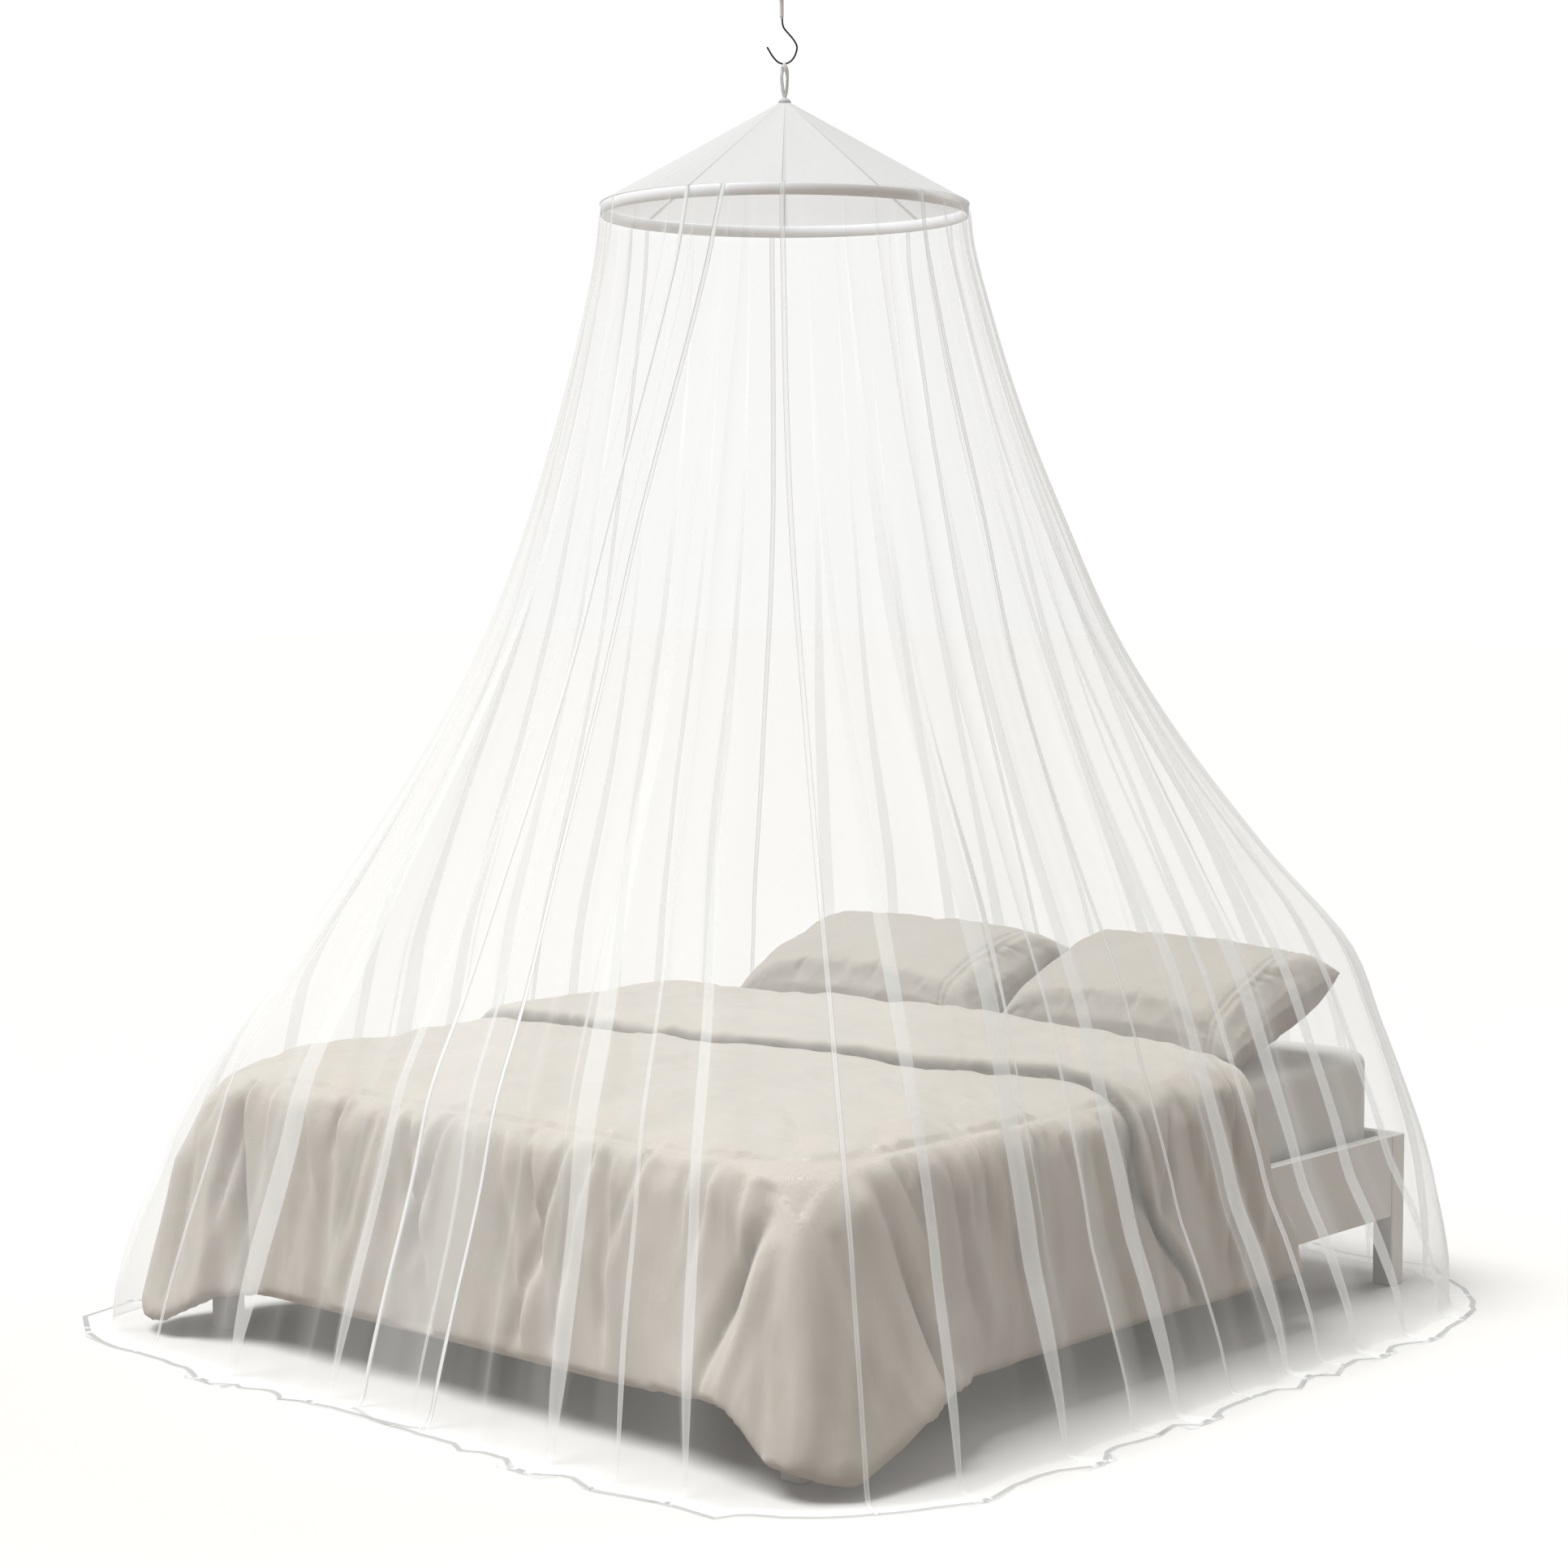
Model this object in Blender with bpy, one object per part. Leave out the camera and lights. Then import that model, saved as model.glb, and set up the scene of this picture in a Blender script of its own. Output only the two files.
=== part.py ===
"""Mosquito net canopy hung over a bed.

A round net canopy: eight roof gores run down from a loop and a crown patch to a flat hoop, and eight wall
panels fall from the hoop to the floor all round a double bed. The walls overlap at the foot end to make
the way in. The bed that the net falls over is built plain, with its mattress, duvet and two pillows.

Metres, +Z up, the foot of the bed towards -Y. The origin is on the floor, under the middle of the net.
"""
from math import cos, pi, radians, sin, sqrt

import bmesh
import bpy
from mathutils import Matrix, Vector

# ---------------------------------------------------------------- driving sizes
BED_WIDTH = 1.70
BED_LENGTH = 2.08
MATTRESS_WIDTH = 1.60
MATTRESS_LENGTH = 2.00
LEG_SIZE = 0.05
RAIL_THICKNESS = 0.028
RAIL_BOTTOM = 0.161
RAIL_TOP = 0.348
BASE_THICKNESS = 0.018
MATTRESS_BOTTOM = 0.302
MATTRESS_TOP = 0.542

HOOP_CENTRE = (-0.068, -0.061)
HOOP_RADIUS = 0.3995
HOOP_THICKNESS = 0.0025
HOOP_HEIGHT = 0.025
HOOP_TOP = 2.4205
HOOP_SEGMENTS = 72
APEX_Z = 2.648
CROWN_RADIUS = 0.014

NET_THICKNESS = 0.0015
HEM_THICKNESS = 0.0024
HEM_WIDTH = 0.012
TAPE_THICKNESS = 0.001
TAPE_WIDTH = 0.010
BINDING_WIDTH = 0.009
BINDING_GAP = 0.0008
GAP = 0.0003
SEAM_GAP = 0.0005
TAPE_GAP = 0.0006
HOOP_CLEARANCE = 0.0012
OVERLAP_STEP = 0.009
OVERLAP_LIFT = 0.0052

WIRE_RADIUS = 0.0015
CORD_RADIUS = 0.0045
HOOK_TOP = 2.823
CORD_LENGTH = 0.058
FITTING_RADIUS = 0.022
FITTING_HEIGHT = 0.014
LOOP_TAPE_WIDTH = 0.010
LOOP_TAPE_THICKNESS = 0.0014
LOOP_WIDTH = 0.026
LOOP_TWIST = 60.0

DUVET_HEM_Z = 0.1155
DUVET_SIDE_THICKNESS = 0.034
ORIGIN_SHIFT = 0.036

# Outline of the hanging net at each height: half width, half length towards the foot and the head,
# corner radii, and how far the middle has moved from the hoop's middle to the bed's.
NET_LEVELS = (
    # z, half_width, half_foot, half_head, r_foot_left, r_foot_right, r_head, to_bed
    (2.4205, 0.4014, 0.4014, 0.4014, 0.4014, 0.4014, 0.4014, 0.00),
    (2.3400, 0.409, 0.409, 0.409, 0.409, 0.409, 0.409, 0.01),
    (2.2500, 0.426, 0.428, 0.428, 0.420, 0.420, 0.420, 0.05),
    (2.0000, 0.487, 0.497, 0.497, 0.460, 0.450, 0.420, 0.15),
    (1.7500, 0.556, 0.576, 0.576, 0.500, 0.480, 0.430, 0.28),
    (1.5000, 0.621, 0.661, 0.661, 0.500, 0.490, 0.460, 0.42),
    (1.2500, 0.705, 0.770, 0.770, 0.510, 0.500, 0.470, 0.57),
    (1.0000, 0.805, 0.899, 0.885, 0.510, 0.480, 0.420, 0.74),
    (0.8000, 0.884, 1.004, 0.980, 0.460, 0.420, 0.313, 0.87),
    (0.6200, 0.930, 1.097, 1.055, 0.345, 0.325, 0.350, 0.95),
    (0.4500, 0.970, 1.138, 1.085, 0.220, 0.220, 0.320, 1.00),
    (0.3500, 0.990, 1.160, 1.100, 0.200, 0.220, 0.295, 1.00),
    (0.2500, 1.025, 1.183, 1.120, 0.180, 0.260, 0.330, 1.00),
    (0.0900, 1.068, 1.214, 1.145, 0.180, 0.340, 0.390, 1.00),
    (0.0000, 1.078, 1.226, 1.152, 0.200, 0.380, 0.430, 1.00),
)

# Heights at which the wall panels have a row of points, from the hoop down to the bend at the floor.
WALL_ROWS = (2.4200, 2.335, 2.20, 2.02, 1.80, 1.55, 1.30, 1.06, 0.85, 0.71, 0.60, 0.48, 0.34, 0.18, 0.030)
BEND = ((0.0085, 0.004), (NET_THICKNESS / 2, 0.014))   # height and outward reach of the turn at the floor
SKIRT_REACH = 0.046

# Where each seam runs: its angle about the net's middle, in degrees, at five heights.
SEAM_HEIGHTS = (2.42, 1.80, 1.30, 0.65, 0.00)
SEAM_ANGLES = {
    "back_left": (-178.0, -180.0, -180.0, -180.0, -180.0),
    "left": (-112.0, -116.0, -119.0, -121.0, -123.0),
    "opening_edge": (-65.5, -79.0, -82.5, -82.5, -86.0),
    "front": (-48.8, -49.5, -48.5, -47.5, -46.0),
    "right": (-3.0, -5.0, -7.0, -6.0, -1.0),
    "head_right": (42.0, 41.0, 42.0, 44.0, 45.0),
    "head": (88.0, 94.0, 97.0, 100.0, 101.0),
    "head_left": (136.0, 137.0, 139.0, 140.0, 141.0),
    "back": (182.0, 180.0, 180.0, 180.0, 180.0),
}

# The under edge of the way in runs this share of the way across the panel that laps over it.
UNDER_SHARE = 0.72
SEAM_ANGLES["under_edge"] = tuple(a + (b - a) * UNDER_SHARE for a, b in zip(
    SEAM_ANGLES["left"], SEAM_ANGLES["opening_edge"]))

PANELS = (
    # name, seam at its start, seam at its end
    ("net_panel_left", "back_left", "left"),
    ("net_panel_foot_left", "left", "opening_edge"),
    ("net_panel_foot", "under_edge", "front"),
    ("net_panel_near", "front", "right"),
    ("net_panel_right", "right", "head_right"),
    ("net_panel_head_right", "head_right", "head"),
    ("net_panel_head", "head", "head_left"),
    ("net_panel_head_left", "head_left", "back"),
)
TAPES = (
    # name, seam
    ("seam_tape_left", "left"),
    ("seam_tape_front", "front"),
    ("seam_tape_right", "right"),
    ("seam_tape_head_right", "head_right"),
    ("seam_tape_head", "head"),
    ("seam_tape_head_left", "head_left"),
    ("seam_tape_back", "back"),
)

# Main folds of the walls. The angle is at the floor; a fold starts at its own height and grows downwards.
FOLDS = {
    "net_panel_left": (
        # angle, width, depth, start, lean, reach
        (-170.0, 5.5, 0.024, 1.9, 0.30, 0.021),
        (-158.0, 5.0, 0.020, 2.1, -0.20, 0.008),
        (-146.0, 5.5, 0.026, 2.2, 0.25, 0.027),
        (-134.0, 5.0, 0.028, 2.2, -0.25, 0.028),
    ),
    "net_panel_foot_left": (
        (-114.0, 4.2, 0.026, 2.2, 0.30, 0.021),
        (-108.0, 3.0, 0.018, 2.0, -0.30, 0.008),
        (-102.8, 3.0, 0.022, 1.7, 0.25, 0.015),
    ),
    "net_panel_foot": (
        (-78.5, 3.0, 0.014, 1.5, -0.20, 0.007),
        (-71.0, 3.4, 0.024, 1.8, 0.30, 0.024),
        (-64.0, 3.6, 0.022, 1.4, -0.30, 0.013),
        (-56.5, 3.4, 0.020, 1.9, 0.25, 0.020),
    ),
    "net_panel_near": (
        (-39.5, 3.4, 0.018, 1.9, 0.30, 0.014),
        (-28.5, 4.2, 0.026, 2.1, -0.30, 0.025),
        (-20.0, 3.0, 0.016, 1.6, 0.20, 0.007),
        (-11.0, 4.4, 0.028, 2.2, 0.30, 0.024),
    ),
    "net_panel_right": (
        (6.0, 3.6, 0.022, 1.8, -0.25, 0.010),
        (13.0, 4.2, 0.028, 2.2, 0.30, 0.025),
        (22.0, 4.4, 0.026, 2.2, 0.25, 0.013),
        (31.5, 4.6, 0.024, 2.1, -0.20, 0.021),
        (39.0, 3.0, 0.016, 2.0, 0.20, 0.007),
    ),
    "net_panel_head_right": (
        (54.0, 4.6, 0.026, 2.1, 0.25, 0.021),
        (69.0, 5.4, 0.022, 1.9, -0.30, 0.013),
        (85.0, 5.0, 0.026, 2.1, 0.25, 0.024),
    ),
    "net_panel_head": (
        (113.0, 5.0, 0.024, 2.1, 0.25, 0.021),
        (128.0, 4.8, 0.026, 2.1, -0.25, 0.014),
    ),
    "net_panel_head_left": (
        (153.0, 4.8, 0.024, 2.0, -0.25, 0.018),
        (168.0, 5.0, 0.026, 1.9, 0.25, 0.013),
    ),
}

# Columns without a fold, where the net turns a corner of the bed.
PLAIN_COLUMNS = {
    "net_panel_left": (-140.0, -127.5),
    "net_panel_foot_left": (-119.0,),
    "net_panel_foot": (-50.5,),
    "net_panel_near": (),
    "net_panel_right": (),
    "net_panel_head_right": (48.5, 61.5, 77.0, 94.5),
    "net_panel_head": (106.5, 120.5, 135.5),
    "net_panel_head_left": (146.0, 160.5, 175.0),
}

ROOF_SEAMS = (-77.0, -48.8, -20.0, 30.0, 84.0, 132.0, 181.0, 232.0)
ROOF_NAMES = ("foot", "near", "right", "head_right", "head", "head_left", "left", "foot_left")

# Outer surface of the duvet, from its hem up to the flat of its top.
DUVET_LEVELS = (
    # z, half_width, half_length, corner_radius, flare (share of the corner drape's spread)
    (0.1155, 0.900, 1.091, 0.040, 1.00),
    (0.2300, 0.901, 1.091, 0.045, 0.62),
    (0.3480, 0.901, 1.091, 0.060, 0.28),
    (0.4400, 0.900, 1.090, 0.100, 0.06),
    (0.5050, 0.895, 1.085, 0.150, 0.00),
    (0.5450, 0.882, 1.072, 0.185, 0.00),
    (0.5700, 0.852, 1.042, 0.210, 0.00),
    (0.5880, 0.800, 0.990, 0.220, 0.00),
    (0.5990, 0.720, 0.910, 0.220, 0.00),
)
DUVET_CROWN = 0.618
# The hanging corner: how far its two creases and its tip stand out past the straight sides.
# (distance along the edge from the corner, foot side < 0 < long side; spread outwards; drop of the hem)
CORNER_DRAPES = {
    "right": ((-0.42, 0.000, 0.000), (-0.143, 0.052, -0.030), (0.00, 0.062, 0.070), (0.024, 0.100, 0.094),
              (0.152, 0.106, 0.045), (0.287, 0.096, -0.010), (0.50, 0.000, 0.000)),
    "left": ((-0.40, 0.000, 0.000), (-0.18, 0.012, 0.000), (0.00, 0.098, 0.088), (0.24, 0.040, 0.020),
             (0.50, 0.000, 0.000)),
}
# Head end of the duvet and the loose edge of its turned-back part, at the top and at the hem of a long side.
DUVET_END_TOP, DUVET_END_HEM = 0.32, 0.54
TURNBACK_TOP, TURNBACK_HEM = -0.09, 0.17
TURNBACK_FAR = -0.16                    # how much nearer to the foot the loose edge is on the far side
TURNBACK_SHARE = 0.365                  # share of a long side's columns at the loose edge
TURNBACK_STEP = 0.04                    # share over which the turned-back part ends
TURNBACK_THICKNESS = 0.026
# The same three places on the middle line: head end, loose edge, and the last column before the foot.
SPINE_HEAD, SPINE_TURNBACK, SPINE_FOOT = 0.37, -0.28, -0.62
LONG_SHARE = 1.42                       # share at which a long side reaches its corner
FOOT_SHARE = 0.22                       # share at which the foot side starts; it ends as far short of 2
# The inner surface rests on the mattress from here up, and is drawn in a little more with each level.
REST_Z, FLAT_Z = 0.50, 0.54
DRAW_IN, DRAW_IN_HEIGHT = 0.035, 0.045

PILLOWS = (
    # name, centre x, centre y, half width, half depth, turn, tilt, height of the seam over the mattress
    ("pillow_near", 0.465, 0.620, 0.365, 0.235, -2.0, 21.0, 0.118),
    ("pillow_far", -0.325, 0.640, 0.385, 0.235, 3.0, 18.0, 0.106),
)
PILLOW_THICKNESS = 0.205

WHITE_NET = (0.90, 0.90, 0.89)
WHITE_TAPE = (0.86, 0.86, 0.85)
WHITE_METAL = (0.88, 0.88, 0.88)
BLACK_STEEL = (0.02, 0.02, 0.02)
BED_WHITE = (0.82, 0.82, 0.81)
TICKING = (0.78, 0.78, 0.77)
DUVET_GREIGE = (0.62, 0.56, 0.50)


# ---------------------------------------------------------------- small helpers
def material(name, colour, roughness=0.8, metallic=0.0):
    made = bpy.data.materials.new(name)
    made.use_nodes = True
    shader = made.node_tree.nodes["Principled BSDF"]
    shader.inputs["Base Color"].default_value = (*colour, 1.0)
    shader.inputs["Roughness"].default_value = roughness
    shader.inputs["Metallic"].default_value = metallic
    return made


def add_object(name, mesh, finish):
    placed = bpy.data.objects.new(name, mesh)
    bpy.context.scene.collection.objects.link(placed)
    mesh.materials.append(material(name + "_finish", *finish))
    return placed


def mesh_from(name, points, faces, finish, smooth=True):
    mesh = bpy.data.meshes.new(name)
    mesh.from_pydata([tuple(p) for p in points], [], faces)
    made = bmesh.new()
    made.from_mesh(mesh)
    bmesh.ops.remove_doubles(made, verts=made.verts, dist=0.000005)
    bmesh.ops.recalc_face_normals(made, faces=made.faces)
    if made.calc_volume(signed=True) < 0:
        bmesh.ops.reverse_faces(made, faces=made.faces)
    made.to_mesh(mesh)
    made.free()
    if smooth:
        mesh.shade_smooth()
    return add_object(name, mesh, finish)


def at(knots, values, x):
    """Smooth curve through the knots (Catmull-Rom), held level past both ends."""
    order = sorted(range(len(knots)), key=lambda i: knots[i])
    k = [knots[i] for i in order]
    v = [values[i] for i in order]
    if x <= k[0]:
        return v[0]
    if x >= k[-1]:
        return v[-1]
    i = max(j for j in range(len(k) - 1) if k[j] <= x)

    def slope(j):
        lo, hi = max(j - 1, 0), min(j + 1, len(k) - 1)
        return (v[hi] - v[lo]) / (k[hi] - k[lo])

    h = k[i + 1] - k[i]
    t = (x - k[i]) / h
    m0, m1 = slope(i) * h, slope(i + 1) * h
    return ((2 * t**3 - 3 * t**2 + 1) * v[i] + (t**3 - 2 * t**2 + t) * m0
            + (3 * t**2 - 2 * t**3) * v[i + 1] + (t**3 - t**2) * m1)


def line_at(knots, values, x):
    if x <= knots[0]:
        return values[0]
    for k0, k1, v0, v1 in zip(knots, knots[1:], values, values[1:]):
        if x <= k1:
            return v0 + (v1 - v0) * (x - k0) / (k1 - k0)
    return values[-1]


def ease(t):
    t = min(max(t, 0.0), 1.0)
    return t * t * (3 - 2 * t)


def rounded_reach(angle, half_x, half_y, radius):
    """Distance from the middle to a rounded rectangle's edge, in one direction."""
    c, s = abs(cos(angle)), abs(sin(angle))
    px, py = half_x - radius, half_y - radius
    if c * py >= s * half_x:
        return half_x / c
    if s * px >= c * half_y:
        return half_y / s
    along = px * c + py * s
    return along + sqrt(max(along**2 - (px**2 + py**2 - radius**2), 0.0))


# ---------------------------------------------------------------- the net's surface
LEVEL_Z = [row[0] for row in NET_LEVELS]


def net_outline(angle, z):
    """Point of the smooth hanging net at one angle and height."""
    half_w, half_f, half_h, r_fl, r_fr, r_h, to_bed = (
        at(LEVEL_Z, [row[i] for row in NET_LEVELS], z) for i in range(1, 8))
    corner = r_h if sin(angle) > 0 else (r_fl if cos(angle) < 0 else r_fr)
    half_y = half_h if sin(angle) > 0 else half_f
    blend = ease((z - 0.9) / 1.3)
    corner = min(corner, half_w, half_y) * (1 - blend) + min(half_w, half_y) * blend
    reach = rounded_reach(angle, half_w, half_y, corner)
    return Vector((HOOP_CENTRE[0] * (1 - to_bed) + reach * cos(angle),
                   HOOP_CENTRE[1] * (1 - to_bed) + reach * sin(angle), z))


def seam_angle(seam, z):
    return radians(at(SEAM_HEIGHTS, SEAM_ANGLES[seam], z))


def around(angle, z):
    """Unit vector along the outline, and the outward normal of the smooth net."""
    step = 0.01
    along = (net_outline(angle + step, z) - net_outline(angle - step, z)).normalized()
    down = (net_outline(angle, max(z - 0.02, 0.0)) - net_outline(angle, z + 0.02)).normalized()
    return along, down.cross(along).normalized()


def net_rows(skirt):
    """Rows of a wall column: height, outward reach, and 1 where the cloth lies on the floor."""
    rows = [(z, 0.0, 0) for z in WALL_ROWS]
    rows += [(BEND[0][0], BEND[0][1], 0), (BEND[1][0], BEND[1][1], 1)]
    rows += [(BEND[1][0], BEND[1][1] + skirt - HEM_WIDTH, 1), (BEND[1][0], BEND[1][1] + skirt, 1)]
    return rows


def column(angle_at, skirt, sideways=0.0, push=None, lift=0.0):
    """Middle points and normals of one wall column, from the hoop to the hem's edge."""
    points, normals = [], []
    for z, reach, on_floor in net_rows(skirt):
        angle = angle_at(z)
        along, normal = around(angle, z)
        flat = Vector((normal.x, normal.y, 0)).normalized()
        place = net_outline(angle, z) + along * sideways + flat * reach
        if push:
            place += flat * push(z)
        if on_floor:
            normal = Vector((0, 0, 1))
            place.z = NET_THICKNESS / 2
        elif reach:
            normal = (flat + Vector((0, 0, 1))).normalized()
            place.z = z
        place.z += lift * (1.0 if on_floor else ease((0.09 - z) / 0.09))
        points.append(place)
        normals.append(normal)
    return points, normals


def solid_sheet(name, columns, half_thickness, finish, offset=0.0):
    """Closed thin solid from columns of (points, normals), each row with its own half thickness."""
    points, faces = [], []
    rows = len(columns[0][0])
    for side in (1, -1):
        for place, normal in columns:
            for r in range(rows):
                points.append(place[r] + normal[r] * (offset + side * half_thickness(r)))
    count = len(columns)

    def index(side, c, r):
        return (side * count + c) * rows + r

    for c in range(count - 1):
        for r in range(rows - 1):
            faces.append((index(0, c, r), index(0, c, r + 1), index(0, c + 1, r + 1), index(0, c + 1, r)))
            faces.append((index(1, c, r), index(1, c + 1, r), index(1, c + 1, r + 1), index(1, c, r + 1)))
        for r in (0, rows - 1):
            faces.append((index(0, c, r), index(0, c + 1, r), index(1, c + 1, r), index(1, c, r)))
    for c in (0, count - 1):
        for r in range(rows - 1):
            faces.append((index(0, c, r), index(0, c, r + 1), index(1, c, r + 1), index(1, c, r)))
    return mesh_from(name, points, faces, finish)


def panel_columns(name, start, end):
    """Columns of one wall panel: its two seams, a flat strip beside each, and its folds between."""
    def angle_at(share):
        return lambda z: seam_angle(start, z) * (1 - share) + seam_angle(end, z) * share

    first, last = SEAM_ANGLES[start][-1], SEAM_ANGLES[end][-1]
    skirts = skirt_ends(name)
    flat_strip = (BINDING_WIDTH if start == "under_edge" else TAPE_WIDTH / 2) + 0.001
    columns = [column(angle_at(0), skirts[0], SEAM_GAP / 2), column(angle_at(0), skirts[0], flat_strip)]
    stations = [(angle + part * width, depth * crest, top, reach * (0.35 + 0.65 * crest))
                for angle, width, depth, top, lean, reach in FOLDS[name]
                for part, crest in ((-0.5, 0.0), (lean, 1.0), (0.5, 0.0))]
    stations += [(angle, 0.0, 1.0, 0.0) for angle in PLAIN_COLUMNS[name]]
    for angle, depth, top, reach in sorted(stations):
        def push(z, depth=depth, top=top):
            return depth * ease((top - z) / 1.1)

        columns.append(column(angle_at((angle - first) / (last - first)), SKIRT_REACH + reach, push=push))
    if name == "net_panel_foot_left":
        columns += overlap_columns(angle_at)
    else:
        for inset in (flat_strip, SEAM_GAP / 2):
            columns.append(column(angle_at(1), skirts[1], -inset))
    return columns


def skirt_ends(name):
    """The hem's reach over the floor at a panel's two ends."""
    if name == "net_panel_foot":
        return 0.018, SKIRT_REACH
    return SKIRT_REACH, SKIRT_REACH


def overlap_columns(angle_at):
    """The front of the foot-left panel, which stands a little outside the panel that it laps over."""
    made = []
    stations = ((UNDER_SHARE - 0.07, 0.0, SKIRT_REACH), (UNDER_SHARE - 0.02, 1.0, 0.030),
                (UNDER_SHARE + 0.12, 1.15, 0.036), (0.955, 1.0, 0.028), (1.0, 1.0, 0.016))
    for share, outside, skirt in stations:
        def push(z, outside=outside):
            return outside * (0.004 + OVERLAP_STEP * ease((2.42 - z) / 0.08))

        lift = OVERLAP_LIFT if outside else 0.0
        made.append(column(angle_at(share), skirt, push=push, lift=lift))
    return made


def panel_thickness(row):
    """Half thickness of a wall sheet at each row: plain net, and a doubled hem at the end."""
    last = len(WALL_ROWS) + len(BEND) + 1
    return NET_THICKNESS / 2 if row < last - 1 else HEM_THICKNESS / 2


def build_panels():
    finish = (WHITE_NET, 0.9)
    edges = {}
    for name, start, end in PANELS:
        columns = panel_columns(name, start, end)
        for points, _ in columns:                       # the doubled hem thickens upwards only
            for r in (-2, -1):
                points[r].z += (HEM_THICKNESS - NET_THICKNESS) / 2
        solid_sheet(name, columns, panel_thickness, finish)
        edges[name] = (columns[0], columns[-1], columns[1], columns[-2])
    return edges


def build_tapes():
    """Flat tapes sewn over the seams, on the outside."""
    finish = (WHITE_TAPE, 0.85)
    offset = NET_THICKNESS / 2 + TAPE_GAP + TAPE_THICKNESS / 2
    for name, seam in TAPES:
        columns = []
        for side in (-1, 1):
            points, normals = column(lambda z: seam_angle(seam, z), SKIRT_REACH, side * TAPE_WIDTH / 2)
            for r in (-2, -1):
                points[r].z += HEM_THICKNESS - NET_THICKNESS
            columns.append((points, normals))
        solid_sheet(name, columns, lambda row: TAPE_THICKNESS / 2, finish, offset)


def build_bindings(edges):
    """Narrow bindings folded round the two free edges at the way in."""
    finish = (WHITE_TAPE, 0.85)
    for name, panel, at_end in (("edge_binding_over", "net_panel_foot_left", True),
                                ("edge_binding_under", "net_panel_foot", False)):
        edge, beside = (edges[panel][1], edges[panel][3]) if at_end else (edges[panel][0], edges[panel][2])
        ring_rows = []
        for r, place in enumerate(edge[0]):
            if r >= len(WALL_ROWS) + 1:
                break
            if r == 0 and not at_end:
                continue
            inward = (beside[0][r] - place).normalized()
            normal = (edge[1][r] - inward * inward.dot(edge[1][r])).normalized()
            inner = NET_THICKNESS / 2 + BINDING_GAP
            outer = inner + TAPE_THICKNESS
            far = -GAP - TAPE_THICKNESS
            section = ((BINDING_WIDTH, outer), (far, outer), (far, -outer), (BINDING_WIDTH, -outer),
                       (BINDING_WIDTH, -inner), (-GAP, -inner), (-GAP, inner), (BINDING_WIDTH, inner))
            ring_rows.append([place + inward * u + normal * v for u, v in section])
        tube_from_rings(name, ring_rows, finish)


def tube_from_rings(name, rings, finish, closed=False, smooth=True):
    """Closed solid through rings of points, capped at both ends or joined round."""
    points = [p for ring in rings for p in ring]
    n = len(rings[0])
    faces = []
    spans = len(rings) if closed else len(rings) - 1
    for i in range(spans):
        a, b = i * n, ((i + 1) % len(rings)) * n
        faces += [(a + k, a + (k + 1) % n, b + (k + 1) % n, b + k) for k in range(n)]
    if not closed:
        faces += [tuple(range(n)), tuple(reversed(range(len(points) - n, len(points))))]
    return mesh_from(name, points, faces, finish, smooth)


# ---------------------------------------------------------------- roof, hoop, loop, hook
def roof_point(angle, radius, sag):
    edge_z = HOOP_TOP + GAP + NET_THICKNESS * 0.65
    edge_r = HOOP_RADIUS + HOOP_CLEARANCE + NET_THICKNESS
    share = radius / edge_r
    z = APEX_Z + (edge_z - APEX_Z) * share - sag * sin(pi * min(share, 1.0))
    return Vector((HOOP_CENTRE[0] + radius * cos(angle), HOOP_CENTRE[1] + radius * sin(angle), z))


def build_roof():
    edge_r = HOOP_RADIUS + HOOP_CLEARANCE + NET_THICKNESS
    top_r = 0.005
    radii = (edge_r, 0.26, 0.13, 0.04, top_r)
    slope = Vector((0, 0, 1))
    for i, name in enumerate(ROOF_NAMES):
        first = ROOF_SEAMS[i]
        last = ROOF_SEAMS[(i + 1) % len(ROOF_SEAMS)]
        last += 360.0 if last < first else 0.0
        steps = max(int(round((last - first) / 7.5)), 4)
        columns = []
        for k in range(steps + 1):
            share = k / steps
            angle = radians(first + (last - first) * share)
            sideways = SEAM_GAP / 2 if k == 0 else (-SEAM_GAP / 2 if k == steps else 0.0)
            along = Vector((-sin(angle), cos(angle), 0.0))
            sag = 0.006 * sin(pi * share)
            points = [roof_point(angle, radius, sag) + along * sideways for radius in radii]
            columns.append((points, [slope] * len(radii)))
        solid_sheet("roof_gore_" + name, columns, lambda row: NET_THICKNESS * 0.6, (WHITE_NET, 0.9))


def ring_band(name, radius, thickness, bottom, top, segments, finish):
    rings = []
    for i in range(segments):
        angle = 2 * pi * i / segments
        out = Vector((cos(angle), sin(angle), 0))
        middle = Vector((*HOOP_CENTRE, 0))
        rings.append([middle + out * r + Vector((0, 0, z)) for r, z in (
            (radius, bottom), (radius, top), (radius - thickness, top), (radius - thickness, bottom))])
    return tube_from_rings(name, rings, finish, closed=True)


def build_hoop():
    ring_band("hoop", HOOP_RADIUS, HOOP_THICKNESS, HOOP_TOP - HOOP_HEIGHT, HOOP_TOP, HOOP_SEGMENTS,
              (WHITE_METAL, 0.35))


def crown_under(radius):
    """Underside of the crown patch, just above the roof's cloth."""
    return roof_point(0.0, radius, 0.0).z + NET_THICKNESS * 0.6 + GAP


CROWN_TOP = APEX_Z + 0.0045


def build_crown():
    """Small dense patch that caps the tips of the gores."""
    rings = []
    sides = 16
    for radius, z in ((0.002, CROWN_TOP), (CROWN_RADIUS, crown_under(CROWN_RADIUS) + 0.0014),
                      (CROWN_RADIUS, crown_under(CROWN_RADIUS)), (0.002, crown_under(0.002))):
        rings.append([Vector((HOOP_CENTRE[0] + radius * cos(2 * pi * k / sides),
                              HOOP_CENTRE[1] + radius * sin(2 * pi * k / sides), z)) for k in range(sides)])
    tube_from_rings("crown_patch", rings, (WHITE_TAPE, 0.85))


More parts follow.
